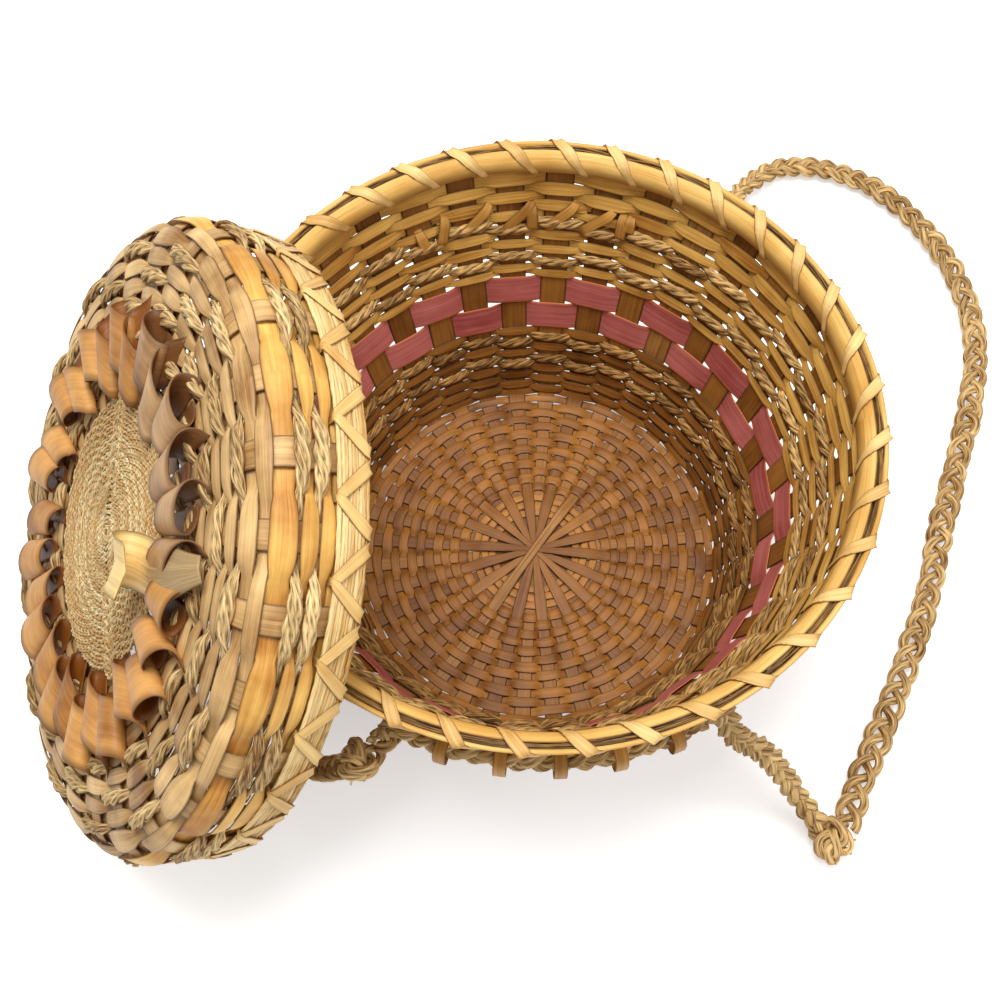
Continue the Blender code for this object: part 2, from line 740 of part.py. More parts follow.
def curl_ground():
    """Height of the curl splint's middle where it lies on the ribs."""
    return LID_CROWN_HEIGHT + SPLINT_THICKNESS + CLEARANCE


def curl_line(radius, crest_radius, width, rise):
    """One curl in section at one end of the roll: (side, height, radius) for each corner."""
    half_height = rise / (1 + CURL_TURN_LIFT)
    line = [(-radius * math.pi / LID_RIB_COUNT, 0.0, radius)]
    for degrees in CURL_TURN:
        turn = math.radians(degrees)
        height = half_height * (math.sin(turn) + CURL_TURN_LIFT)
        out = radius + (crest_radius - radius) * height / rise
        line.append((math.cos(turn) * width / 2, height, out))
    return line


def curl_ring(finish, frame):
    """One wide splint that touches down on every rib and stands up in a curl between them."""
    half = SPLINT_THICKNESS / 2
    pitch = math.tau / LID_RIB_COUNT
    ends = []
    for radius, crest_radius, width, rise in (
        (CURL_INNER, CURL_INNER, CURL_INNER_WIDTH, CURL_INNER_RISE),
        (CURL_OUTER, CURL_CREST_OUTER, CURL_OUTER_WIDTH, CURL_OUTER_RISE),
    ):
        line = curl_line(radius, crest_radius, width, rise)
        flat = [Vector((side, height + curl_ground())) for side, height, _ in line]
        normals = left_normals(flat, Vector((radius * pitch, 0)))
        outs = [out for _, _, out in line]
        ends.append(list(zip(flat, normals, outs)))
    sections = []
    for index in range(LID_RIB_COUNT):
        curl_angle = lid_rib_angle(index) + pitch / 2
        for inner, outer in zip(*ends):
            section = []
            for (point, normal, out), lift in ((inner, -half), (inner, half), (outer, half), (outer, -half)):
                moved = point + lift * normal
                section.append(polar(curl_angle + moved.x / out, out, 0, moved.y))
            sections.append(section)
    sweep("lid_curl_ring", sections, True, finish, frame)


def loose_curl(finish, frame):
    """The end of the curl splint, folded back over the tops of two curls."""
    half = SPLINT_THICKNESS / 2
    seat = curl_ground() + SPLINT_THICKNESS + CLEARANCE
    line = [
        Vector((CURL_CREST_OUTER, seat + CURL_OUTER_RISE)),
        Vector((CURL_INNER, seat + CURL_INNER_RISE)),
    ]
    for inwards, above in LOOSE_CURL_HOOK:
        line.append(line[1] + Vector((-inwards, above)) * MM)
    sections = []
    for point, normal in zip(line, left_normals(line)):
        section = []
        for side, lift in ((-1, -1), (1, -1), (1, 1), (-1, 1)):
            moved = point + lift * half * normal
            along = side * LOOSE_CURL_WIDTH / 2
            section.append(polar(LOOSE_CURL_ANGLE, moved.x, along, moved.y))
        sections.append(section)
    sweep("lid_loose_curl", sections, False, finish, frame)


def lid(pale, gold, brown, tan, grass):
    frame = bpy.data.objects.new("lid_frame", None)
    bpy.context.scene.collection.objects.link(frame)
    crown = Vector((
        -math.cos(LID_TILT) * math.cos(LID_YAW),
        -math.cos(LID_TILT) * math.sin(LID_YAW),
        math.sin(LID_TILT),
    ))
    across = Vector((-math.sin(LID_YAW), math.cos(LID_YAW), 0))
    up_slope = across.cross(crown)
    turn = Matrix((up_slope, across, crown)).transposed().to_4x4()
    frame.matrix_world = Matrix.Translation(LID_CENTRE) @ turn
    lid_ribs(brown, frame)
    lid_rows(gold, grass, frame)
    lid_hoops(pale, gold, frame)
    lid_disc(grass, frame)
    curl_ring(tan, frame)
    loose_curl(pale, frame)


def main():
    clear_scene()
    pale = material("pale_splint", PALE_SPLINT, 0.5)
    gold = material("gold_splint", GOLD_SPLINT, 0.5)
    brown = material("brown_splint", BROWN_SPLINT, 0.55)
    tan = material("tan_splint", TAN_SPLINT, 0.55)
    rose = material("rose_splint", ROSE_SPLINT, 0.6)
    grass = material("sweetgrass", SWEETGRASS, 0.7)
    stakes(brown)
    base(tan)
    wall(tan, rose)
    rim(pale, gold, grass)
    strap(grass, tan)
    lid(pale, gold, brown, tan, grass)


main()
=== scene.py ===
# %% [markdown]
# # A penobscot basket and its lid
# The basket is woven from ash splints and twisted sweetgrass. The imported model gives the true
# sizes, and this script dresses it: every row, curl and braid is made again as the strip or the
# twist that it is. All lengths are in metres, and MM turns millimetres into them. Hand work is
# uneven, so one seeded source of chance varies it, the same way each time the script runs.

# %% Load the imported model
import json
import math

import bpy
import numpy as np
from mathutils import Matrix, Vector


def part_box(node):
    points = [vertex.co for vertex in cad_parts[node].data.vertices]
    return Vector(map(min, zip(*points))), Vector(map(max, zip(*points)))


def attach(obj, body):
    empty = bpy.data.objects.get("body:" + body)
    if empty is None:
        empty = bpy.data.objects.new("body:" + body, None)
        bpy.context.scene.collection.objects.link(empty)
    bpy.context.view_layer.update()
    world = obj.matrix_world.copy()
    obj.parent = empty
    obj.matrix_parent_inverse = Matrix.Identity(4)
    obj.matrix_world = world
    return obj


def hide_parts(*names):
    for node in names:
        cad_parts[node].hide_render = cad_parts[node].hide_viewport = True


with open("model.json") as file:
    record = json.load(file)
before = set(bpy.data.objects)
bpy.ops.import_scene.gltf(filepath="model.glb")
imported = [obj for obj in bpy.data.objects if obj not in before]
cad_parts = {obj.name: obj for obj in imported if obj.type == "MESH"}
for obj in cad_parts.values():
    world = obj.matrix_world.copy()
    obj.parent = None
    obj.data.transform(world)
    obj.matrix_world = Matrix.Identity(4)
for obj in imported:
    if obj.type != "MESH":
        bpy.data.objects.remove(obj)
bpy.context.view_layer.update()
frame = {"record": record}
MM = 0.001
TURN = math.tau
chance = np.random.default_rng(36)

# %% [markdown]
# ## Camera
# The photograph looks steeply down at the basket. A camera fitted to the rim, the base and the
# dyed rows stands 0.72 m away, 65 degrees above the table, behind a 50 mm lens.

# %% Set up the camera
CAMERA_PLACE = (-0.0176, -0.2758, 0.6566)
CAMERA_RISE = 65.06

lens = bpy.data.cameras.new("camera")
lens.lens = 50
lens.sensor_width = 36
camera = bpy.data.objects.new("camera", lens)
camera.location = CAMERA_PLACE
camera.rotation_euler = (math.radians(90 - CAMERA_RISE), 0, 0)
bpy.context.scene.collection.objects.link(camera)
bpy.context.scene.camera = camera
print(f"camera: {Vector(CAMERA_PLACE).length:.2f} m from the middle of the base")

# %% [markdown]
# ## Colours and shader nodes
# A colour is picked on a screen as an sRGB hex value, but a shader mixes linear light, so one
# function turns the first into the second. Another adds a shader node with its settings and
# its links, which keeps each material short enough to read as a recipe.


# %% Colour and node helpers
def linear(code):
    """An sRGB hex colour as the linear values that a shader mixes."""
    shares = [int(code[start:start + 2], 16) / 255 for start in (1, 3, 5)]
    return [s / 12.92 if s <= 0.04045 else ((s + 0.055) / 1.055) ** 2.4 for s in shares] + [1.0]


def add_node(material, kind, inputs, **settings):
    """Adds a node; each input is given a value, or another node's output to follow."""
    made = material.node_tree.nodes.new(kind)
    for name, value in settings.items():
        setattr(made, name, value)
    for name, value in inputs.items():
        if isinstance(value, bpy.types.NodeSocket):
            material.node_tree.links.new(value, made.inputs[name])
        else:
            made.inputs[name].default_value = value
    return made


def new_material(name):
    """An empty material, and its surface input."""
    material = bpy.data.materials.new(name)
    material.use_nodes = True
    material.node_tree.nodes.clear()
    output = add_node(material, "ShaderNodeOutputMaterial", {})
    return material, output.inputs["Surface"]


# %% [markdown]
# ## Table and light
# The floor is a pale plain sheet. Large soft lamps and an even pale sky light the basket at
# about the level at which a colour renders as it is written. Only what the camera sees
# directly of the floor and the sky is lifted to white, so the soft shadows stay.

# %% Floor
FLOOR_SIZE = 6.0
FLOOR_LIFT = 0.44


def white_in_view(material, shade, lift, surface):
    """The surface, with its own light added only where the camera or a reflection sees it."""
    path = add_node(material, "ShaderNodeLightPath", {})
    seen = path.outputs["Is Camera Ray"]
    for ray in ("Is Glossy Ray", "Is Transmission Ray"):
        seen = add_node(
            material, "ShaderNodeMath", {0: seen, 1: path.outputs[ray]}, operation="MAXIMUM"
        ).outputs[0]
    strength = add_node(material, "ShaderNodeMath", {0: seen, 1: lift}, operation="MULTIPLY")
    glow = add_node(
        material, "ShaderNodeEmission",
        {"Color": (1, 1, 1, 1), "Strength": strength.outputs[0]},
    )
    both = add_node(
        material, "ShaderNodeAddShader", {0: shade.outputs["BSDF"], 1: glow.outputs[0]}
    )
    material.node_tree.links.new(both.outputs[0], surface)


floor_paper, floor_surface = new_material("white_paper_sweep")
paper = add_node(
    floor_paper, "ShaderNodeBsdfDiffuse", {"Color": linear("#F4F4F3"), "Roughness": 0.4}
)
white_in_view(floor_paper, paper, FLOOR_LIFT, floor_surface)
half = FLOOR_SIZE / 2
floor_mesh = bpy.data.meshes.new("floor")
floor_mesh.from_pydata(
    [(-half, -half, 0), (half, -half, 0), (half, half, 0), (-half, half, 0)], [], [(0, 1, 2, 3)]
)
floor_mesh.materials.append(floor_paper)
floor = bpy.data.objects.new("floor", floor_mesh)
bpy.context.scene.collection.objects.link(floor)
print(f"floor: {FLOOR_SIZE:.0f} m wide")

# %% Sky
SKY_LIGHT = 0.38

sky = bpy.data.worlds.new("pale_sky")
sky.use_nodes = True
sky.node_tree.nodes.clear()
sky_output = add_node(sky, "ShaderNodeOutputWorld", {})
sky_path = add_node(sky, "ShaderNodeLightPath", {})
sky_strength = add_node(
    sky, "ShaderNodeMapRange",
    {"Value": sky_path.outputs["Is Camera Ray"], "To Min": SKY_LIGHT, "To Max": 1.0},
)
sky_light = add_node(
    sky, "ShaderNodeBackground",
    {"Color": (1, 1, 1, 1), "Strength": sky_strength.outputs["Result"]},
)
sky.node_tree.links.new(sky_light.outputs[0], sky_output.inputs["Surface"])
bpy.context.scene.world = sky

# %% Lamps
# place, width and power of each square lamp
LAMPS = {
    "lamp_key": ((-0.12, 0.16, 1.58), 0.8, 23.0),
    "lamp_fill": ((0.95, -0.5, 1.2), 1.0, 6.0),
}
for name, (place, size, power) in LAMPS.items():
    lamp = bpy.data.lights.new(name, "AREA")
    lamp.size = size
    lamp.energy = power
    holder = bpy.data.objects.new(name, lamp)
    holder.location = place
    holder.rotation_euler = (-Vector(place)).to_track_quat("-Z", "Y").to_euler()
    bpy.context.scene.collection.objects.link(holder)

bpy.context.scene.view_settings.view_transform = "Standard"
print("lamps:", ", ".join(LAMPS))

# %% [markdown]
# ## Marks on a strip
# Each strip carries a grain map, whose two directions are metres along and across it, a tone
# that sets how light it is, and an edge mark that is 1 where it darkens: with dirt on cut
# edges, and with painted shade along edges, in the grooves between blades and under a hoop.
# Fibres and blades of grass both come from noise that is stretched along that map.


# %% Grain, tone and edge
def strip_marks(material):
    """What a material reads from its strip: the grain map, the tone and the edge mark."""
    grain = add_node(material, "ShaderNodeUVMap", {}, uv_map="grain")
    tone = add_node(material, "ShaderNodeAttribute", {}, attribute_name="tone")
    # the edge mark darkens with dirt, and with painted shade at edges, grooves and undersides
    edge = add_node(material, "ShaderNodeAttribute", {}, attribute_name="edge")
    return grain.outputs["UV"], tone.outputs["Fac"], edge.outputs["Fac"]


def stretched_noise(material, grain, length, width, detail, roughness=0.5):
    """Streaks of about this length and width, as values round a half."""
    stretched = add_node(
        material, "ShaderNodeMapping", {"Vector": grain, "Scale": (1 / length, 1 / width, 1)}
    )
    noise = add_node(
        material, "ShaderNodeTexNoise",
        {
            "Vector": stretched.outputs["Vector"], "Scale": 1.0, "Detail": detail,
            "Roughness": roughness,
        },
        noise_dimensions="2D",
    )
    return noise.outputs["Fac"]


# %% [markdown]
# ## Ash splint
# A splint is a ribbon split from a pounded ash log along its growth rings, then scraped. Its
# fibres run the whole length, about half a millimetre wide. Streaks four fibres wide and
# stains that don't follow the grain lie over them, and its cut edges are darker, with dirt
# and with painted shade where strips meet. Scraped wood is satin: it shines a little, and
# less where the fibres stand up.

# %% Ash splint material
FIBRE_LENGTH = 22 * MM
STREAK_LENGTH = 60 * MM
STAIN_SIZE = 18 * MM


def ash_splint(
    name, dark, light, edge, roughness=0.5, fibre=0.45 * MM, stain=0.35, streak=1.0,
):
    """Scraped ash, from a dark colour to a light one; stain and streak are strengths."""
    material, surface = new_material(name)
    grain, tone, edge_dirt_and_shade = strip_marks(material)
    fine = stretched_noise(material, grain, FIBRE_LENGTH, fibre, 3.0, 0.6)
    broad = stretched_noise(material, grain, STREAK_LENGTH, 4 * fibre, 2.0)
    place = add_node(material, "ShaderNodeTexCoord", {})
    stains = add_node(
        material, "ShaderNodeTexNoise",
        {"Vector": place.outputs["Object"], "Scale": 1 / STAIN_SIZE, "Detail": 3.0},
    )
    fibres = add_node(
        material, "ShaderNodeMath", {0: fine, 1: 0.9 * streak, 2: -0.45 * streak},
        operation="MULTIPLY_ADD",
    )
    shade = fibres.outputs[0]
    for noise, weight in ((broad, 0.8 * streak), (stains.outputs["Fac"], 2 * stain)):
        shade = add_node(
            material, "ShaderNodeMath", {0: noise, 1: weight, 2: shade}, operation="MULTIPLY_ADD"
        ).outputs[0]
    shade = add_node(material, "ShaderNodeMath", {0: shade, 1: tone}, operation="ADD")
    # with each noise at its middle, a tone of 0.5 mixes the two colours evenly
    least = 0.05 + 0.4 * streak + stain
    share = add_node(
        material, "ShaderNodeMapRange",
        {"Value": shade.outputs[0], "From Min": least, "From Max": least + 0.9},
    )
    wood = add_node(
        material, "ShaderNodeMix",
        {"Factor": share.outputs["Result"], "A": linear(dark), "B": linear(light)},
        data_type="RGBA",
    )
    # the edge colour over the edge mark is dirt on cut edges and painted shade where strips meet
    dirt_and_shaded_wood = add_node(
        material, "ShaderNodeMix",
        {"Factor": edge_dirt_and_shade, "A": wood.outputs["Result"], "B": linear(edge)},
        data_type="RGBA",
    )
    bump = add_node(
        material, "ShaderNodeBump",
        {"Height": fibres.outputs[0], "Strength": 0.55, "Distance": 0.18 * MM},
    )
    rough = add_node(
        material, "ShaderNodeMapRange",
        {"Value": fine, "To Min": roughness - 0.08, "To Max": roughness + 0.14},
    )
    shader = add_node(
        material, "ShaderNodeBsdfPrincipled",
        {
            "Base Color": dirt_and_shaded_wood.outputs["Result"], "Normal": bump.outputs["Normal"],
            "Roughness": rough.outputs["Result"], "IOR": 1.5, "Specular IOR Level": 0.35,
        },
    )
    material.node_tree.links.new(shader.outputs["BSDF"], surface)
    return material


# %% Finishes of the splints
# dark, light and edge colours; the rows low on the wall are painted browner and darker than
# those above them, as painted shade
SPLINTS = {
    "stake": ash_splint("ash_splint_stake", "#66380E", "#B27834", "#1A0E04", streak=0.7),
    "base": ash_splint("ash_splint_base", "#64360C", "#B87A30", "#1A0E04", streak=0.7),
    "pale": ash_splint("ash_splint_pale_top", "#80501C", "#D6A05A", "#3A2008"),
    "weaver": ash_splint("ash_splint_weaver", "#AA6A20", "#FFCE6C", "#221204"),
    "shaded": ash_splint("ash_splint_lower_weaver_painted_shade", "#5E3610", "#BA7E38", "#140A02"),
    "rose": ash_splint("ash_splint_rose_dyed", "#9A4240", "#D67E76", "#C8743A", roughness=0.6),
    "hoop": ash_splint("ash_splint_planed_hoop", "#CC8E34", "#F5CA76", "#8A6228"),
    "straw": ash_splint("ash_splint_lid_straws", "#B8822E", "#FFE0A0", "#6A4416"),
    "lashing": ash_splint("ash_splint_lashing", "#C48C40", "#F4D088", "#6A4418"),
    "keeper": ash_splint("ash_splint_keeper", "#8E5C22", "#D29A48", "#3E2408"),
    "gold": ash_splint(
        "ash_splint_gold", "#B06C24", "#FFCE6E", "#5E380E", stain=0.6, streak=0.6
    ),
    "dusty": ash_splint(
        "ash_splint_dusty", "#8C5E2E", "#F8CE8C", "#3E240E", stain=0.6, streak=0.6
    ),
    "curl": ash_splint(
        "ash_splint_curl", "#8A4E16", "#ECB064", "#52290C", stain=0.55, streak=0.45
    ),
    "curl_dusty": ash_splint(
        "ash_splint_curl_dusty", "#784A22", "#DEB27C", "#4A2C16", stain=0.65, streak=0.45
    ),
    "loose": ash_splint("ash_splint_loose_end", "#A88A60", "#FFDC90", "#7A5A30", stain=0.2),
    "filler": ash_splint("straw_filler", "#3E2610", "#A87C3E", "#2A180A"),
}
print("splint finishes:", ", ".join(SPLINTS))

# %% [markdown]
# ## Sweetgrass
# Sweetgrass is braided or twisted from flat blades under a millimetre wide. The blades lie
# nearly along each ply, so the stripes are noise stretched along the grain map, with dark
# lines of painted shade between blades. It is matte, and its bump is deeper than the splint's.

# %% Sweetgrass material
BLADE_LENGTH = 9 * MM
# the colour of painted shade in the grooves between blades and ridges
GROOVE_SHADE_COLOUR = "#2C1806"


def sweetgrass(name, dark, light, blade=0.55 * MM):
    """Dried sweetgrass: matte stripes of single blades, and painted shade in the grooves."""
    material, surface = new_material(name)
    grain, tone, groove_shade = strip_marks(material)
    blades = stretched_noise(material, grain, BLADE_LENGTH, blade, 2.0)
    shade = add_node(
        material, "ShaderNodeMath", {0: tone, 1: 0.7, 2: blades}, operation="MULTIPLY_ADD"
    )
    share = add_node(
        material, "ShaderNodeMapRange",
        {"Value": shade.outputs[0], "From Min": 0.55, "From Max": 1.15},
    )
    straw = add_node(
        material, "ShaderNodeMix",
        {"Factor": share.outputs["Result"], "A": linear(dark), "B": linear(light)},
        data_type="RGBA",
    )
    groove_shaded = add_node(
        material, "ShaderNodeMix",
        {"Factor": groove_shade, "A": straw.outputs["Result"], "B": linear(GROOVE_SHADE_COLOUR)},
        data_type="RGBA",
    )
    bump = add_node(
        material, "ShaderNodeBump",
        {"Height": blades, "Strength": 0.8, "Distance": 0.35 * MM},
    )
    shader = add_node(
        material, "ShaderNodeBsdfPrincipled",
        {
            "Base Color": groove_shaded.outputs["Result"], "Normal": bump.outputs["Normal"],
            "Roughness": 0.68, "IOR": 1.45, "Specular IOR Level": 0.3,
        },
    )
    material.node_tree.links.new(shader.outputs["BSDF"], surface)
    return material


GRASSES = {
    "wall": sweetgrass("sweetgrass_wall_twist", "#744816", "#F0C47C"),
    "shaded": sweetgrass("sweetgrass_lower_twist_painted_shade", "#55320E", "#CC9A56"),
    "lid": sweetgrass("sweetgrass_lid_twist", "#7E5220", "#FFDC9C"),
    "disc": sweetgrass("sweetgrass_disc", "#CC9650", "#FFECB6", blade=0.4 * MM),
    "braid": sweetgrass("sweetgrass_braid", "#845620", "#FFD894"),
}
print("sweetgrass finishes:", ", ".join(GRASSES))

# %% [markdown]
# ## Building strips and twists
# Everything here is a section swept along a line, so one class gathers such sweeps into a
# single mesh. It also writes what the finishes read: a grain map in real metres, along and
# across each strip, and the tone and edge marks. Working on whole arrays keeps it quick.


# %% The piece builder
class Piece:
    """One mesh in the making, from sections of equal count swept along lines."""

    def __init__(self, name):
        self.name = name
        self.count = 0
        self.corners = []
        self.faces = []
        self.grain = []
        self.tone = []
        self.edge = []

    def sweep(self, sections, along, across, tone, edge, closed=False):
        """sections holds cuts, corners in a cut, and x, y, z; along and across map them."""
        cuts, sides = sections.shape[:2]
        first = np.arange(cuts if closed else cuts - 1)[:, None]
        side = np.arange(sides)
        here = self.count + first * sides
        there = self.count + (first + 1) % cuts * sides
        after = (side + 1) % sides
        quads = np.stack([here + side, here + after, there + after, there + side], -1)
        start, end = along[first], along[first + 1]
        near, far = across[side], across[side + 1]
        pairs = [(start, near), (start, far), (end, far), (end, near)]
        maps = [np.stack(np.broadcast_arrays(u, v), -1) for u, v in pairs]
        self.faces += quads.reshape(-1, 4).tolist()
        self.grain.append(np.stack(maps, -2).reshape(-1, 2))
        if not closed:
            self.faces.append([self.count + index for index in range(sides)][::-1])
            last = self.count + (cuts - 1) * sides
            self.faces.append([last + index for index in range(sides)])
            middle = np.array([[along[0], across.mean()]])
            self.grain.append(np.repeat(middle, 2 * sides, 0))
        self.corners.append(sections.reshape(-1, 3))
        self.tone.append(np.broadcast_to(tone, (cuts, sides)).reshape(-1))
        self.edge.append(np.broadcast_to(edge, (cuts, sides)).reshape(-1))
        self.count += cuts * sides

    def finish(self, material, body, slot, nodes=(), place=None):
        """Makes the mesh, gives it its finish and sets it on its body."""
        corners = np.concatenate(self.corners)
        if place is not None:
            corners = corners @ place[:3, :3].T + place[:3, 3]
        mesh = bpy.data.meshes.new(self.name)
        mesh.from_pydata(corners.tolist(), [], self.faces)
        layer = mesh.uv_layers.new(name="grain")
        layer.data.foreach_set("uv", np.concatenate(self.grain).astype(np.float32).reshape(-1))
        for mark, values in (("tone", self.tone), ("edge", self.edge)):
            attribute = mesh.attributes.new(mark, "FLOAT", "POINT")
            attribute.data.foreach_set("value", np.concatenate(values).astype(np.float32))
        mesh.materials.append(material)
        mesh.shade_smooth()
        made = bpy.data.objects.new(self.name, mesh)
        bpy.context.scene.collection.objects.link(made)
        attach(made, body)
        if nodes:
            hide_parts(*nodes)
        print(f"{self.name}: {len(mesh.polygons)} faces")
        return made


# %% [markdown]
# ## Lines and their frames
# A strip needs to know, at each point of its line, which way it runs and which way its face
# looks. The third direction, across the strip, is their cross product.


# %% Line helpers
UP = np.array([0.0, 0.0, 1.0])


def full_round(count):
    """Even angles for one turn."""
    return np.arange(count) * TURN / count


def polar(angle, radius, height):
    """Points round the upright axis."""
    parts = (radius * np.cos(angle), radius * np.sin(angle), height)
    return np.stack(np.broadcast_arrays(*parts), -1)


def unit(vectors):
    return vectors / np.linalg.norm(vectors, axis=-1, keepdims=True)


def ease(share):
    """A share from 0 to 1 that starts and ends softly."""
    return share * share * (3 - 2 * share)


def between(wanted, known, values):
    """Rows of values at the wanted places, blended from those at the known ones."""
    return np.stack([np.interp(wanted, known, column) for column in values.T], -1)


def line_frame(line, facing, closed=False):
    """The directions out of a line's face and across it, at each point."""
    if closed:
        along = unit(np.roll(line, -1, 0) - np.roll(line, 1, 0))
    else:
        along = unit(np.gradient(line, axis=0))
    out = unit(facing - (facing * along).sum(-1, keepdims=True) * along)
    return out, np.cross(along, out)


def travelled(line, closed=False):
    """The distance covered at each point, and at the end of the round if closed."""
    whole = np.concatenate([line, line[:1]]) if closed else line
    steps = np.linalg.norm(np.diff(whole, axis=0), axis=1)
    return np.concatenate([[0.0], np.cumsum(steps)])


def wobble(angles, size, waves=(3, 7, 11, 17)):
    """A small unevenness of hand work, which closes after a full turn."""
    total = sum(np.sin(wave * angles + chance.uniform(0, TURN)) for wave in waves)
    return size * total / len(waves) ** 0.5


def weave_side(angles, count, start, phase):
    """1 where a row runs outside a stake, -1 where it runs inside, and a quick swing between."""
    swing = np.cos(count / 2 * (angles - start) + phase * math.pi)
    return np.tanh(2 * swing) / math.tanh(2)


# %% [markdown]
# ## Splint and twist
# A splint's section is a thin lens with rounded edges, a little cupped, as green wood dries.
# A ply of sweetgrass is a rope of blades, so its round section has ridges that turn slowly
# along it, and two or three plies twist round one line.

# %% Splint, ply and twist
SPLINT_ACROSS = np.array([-1, -0.95, -0.82, 0, 0.82, 0.95, 1, 0.95, 0.82, 0, -0.82, -0.95])
SPLINT_FACE = np.array([0, 0.8, 1, 1, 1, 0.8, 0, -0.8, -1, -1, -1, -0.8])
# a splint darkens along its edges: dirt, and painted shade where it meets its neighbours
SPLINT_EDGE_DIRT_AND_SHADE = np.interp(np.abs(SPLINT_ACROSS), [0, 0.82, 0.95, 1], [0, 0.06, 0.6, 0.85])
RIDGE_HEIGHT = 0.16


def lay_splint(piece, line, facing, width, thickness, tone=0.5, closed=False, cup=0.04):
    """One splint along a line; facing is the way its face looks, the same or at each point."""
    out, across = line_frame(line, facing, closed)
    width = np.broadcast_to(width, len(line))[:, None]
    thickness = np.broadcast_to(thickness, len(line))[:, None]
    shift = SPLINT_ACROSS * width / 2
    lift = SPLINT_FACE * thickness / 2 - cup * width * SPLINT_ACROSS ** 2
    sections = line[:, None] + shift[..., None] * across[:, None] + lift[..., None] * out[:, None]
    begin = chance.uniform(0, 5)
    side = chance.uniform(0, 1) + np.append(SPLINT_ACROSS, -1) * width.max() / 2
    tone = np.broadcast_to(tone, len(line))[:, None]
    piece.sweep(sections, begin + travelled(line, closed), side, tone, SPLINT_EDGE_DIRT_AND_SHADE, closed)


def turned_along(far, count, pitch, closed):
    """The angle turned at each point, once a pitch; a closed line takes whole turns."""
    turns = far[-1] / pitch
    if closed:
        turns = max(1, round(turns))
    return TURN * turns * far[:count] / far[-1]


def lay_ply(piece, line, facing, radius, tone=0.5, closed=False, flat=0.8, ridges=5, sides=12):
    """A bundle of grass blades along a line, its ridges turning once in six widths."""
    out, across = line_frame(line, facing, closed)
    far = travelled(line, closed)
    spin = turned_along(far, len(line), 12 * np.mean(radius), closed)[:, None]
    around = full_round(sides)
    ridge = np.cos(ridges * around + spin)
    reach = np.broadcast_to(radius, len(line))[:, None] * (1 + RIDGE_HEIGHT * ridge)
    shift = (reach * np.sin(around))[..., None] * across[:, None]
    lift = (flat * reach * np.cos(around))[..., None] * out[:, None]
    skin = chance.uniform(0, 1) + np.arange(sides + 1) / sides * TURN * np.mean(radius)
    # painted shade in the grooves between the ridges
    edge = 0.85 * np.clip(-ridge, 0, 1) ** 3
    tone = np.broadcast_to(tone, len(line))[:, None]
    piece.sweep(
        line[:, None] + shift + lift, chance.uniform(0, 5) + far, skin, tone, edge, closed
    )


def lay_twist(
    piece, line, facing, radius, pitch, tone=0.5, closed=False, flat=0.8, plies=2, sides=12,
):
    """Plies wound round a line, together four radii wide."""
    out, across = line_frame(line, facing, closed)
    turned = turned_along(travelled(line, closed), len(line), pitch, closed)
    for ply in range(plies):
        angle = turned + ply * TURN / plies
        shift = (radius * np.cos(angle))[:, None] * across
        lift = (flat * radius * np.sin(angle))[:, None] * out
        shade = tone + chance.uniform(-0.12, 0.12)
        lay_ply(piece, line + shift + lift, facing, radius, shade, closed, flat, 4, sides)


# %% [markdown]
# ## Stakes and base
# Eighteen splints cross at the middle of the base, pared to points there, and turn up as 36
# stakes. Each is one strip from rim to rim. They lie in two stars of nine. Three narrow rows
# are woven on the lower star first, so they show between the spokes of the upper one. One
# paler splint lies on top of all the others. The stakes are pared narrow across the base and
# twice as wide on the wall, where they stand farther apart.

# %% Sizes of the basket
STAKE_COUNT = 36
STAKE_START = math.radians(5.5)
STAKE_STEP = TURN / STAKE_COUNT
SPLINT = 0.9 * MM
BASE_RADIUS = 92.5 * MM
RIM_RADIUS = 139 * MM
WALL_FOOT = 6 * MM
STAKE_TOP = 143 * MM
BASE_LEVEL = 1.65 * MM
WALL_LEAN = math.atan2(RIM_RADIUS - BASE_RADIUS, STAKE_TOP - WALL_FOOT)
print(f"the wall leans out by {math.degrees(WALL_LEAN):.1f} degrees")


def wall_radius(height):
    """The stakes' distance from the axis at a height."""
    share = (height - WALL_FOOT) / (STAKE_TOP - WALL_FOOT)
    return BASE_RADIUS + share * (RIM_RADIUS - BASE_RADIUS)


def wall_facing(angles):
    """Straight out of the leaning wall."""
    return polar(angles, math.cos(WALL_LEAN), -math.sin(WALL_LEAN))


# %% The line of a stake
# how high the lowest and the highest splint of each star lie at the hub
LOWER_HUB = (0.45 * MM, 1.0 * MM)
UPPER_HUB = (2.9 * MM, 4.3 * MM)
# from which radius to which each star settles to the level of the base
LOWER_SETTLES = (30 * MM, 38 * MM)
UPPER_SETTLES = (25 * MM, 37 * MM)
BEND_START = 84 * MM
BEND_TOP = 9 * MM
# radius, and the stake's width there
STAKE_WIDTHS = np.array([
    (0, 2.6), (9, 3.3), (20, 5.1), (30, 6.0), (36, 5.6), (60, 6.4), (80, 7.2), (93, 9.5),
    (105, 12.7), (139, 13.5),
]) * MM


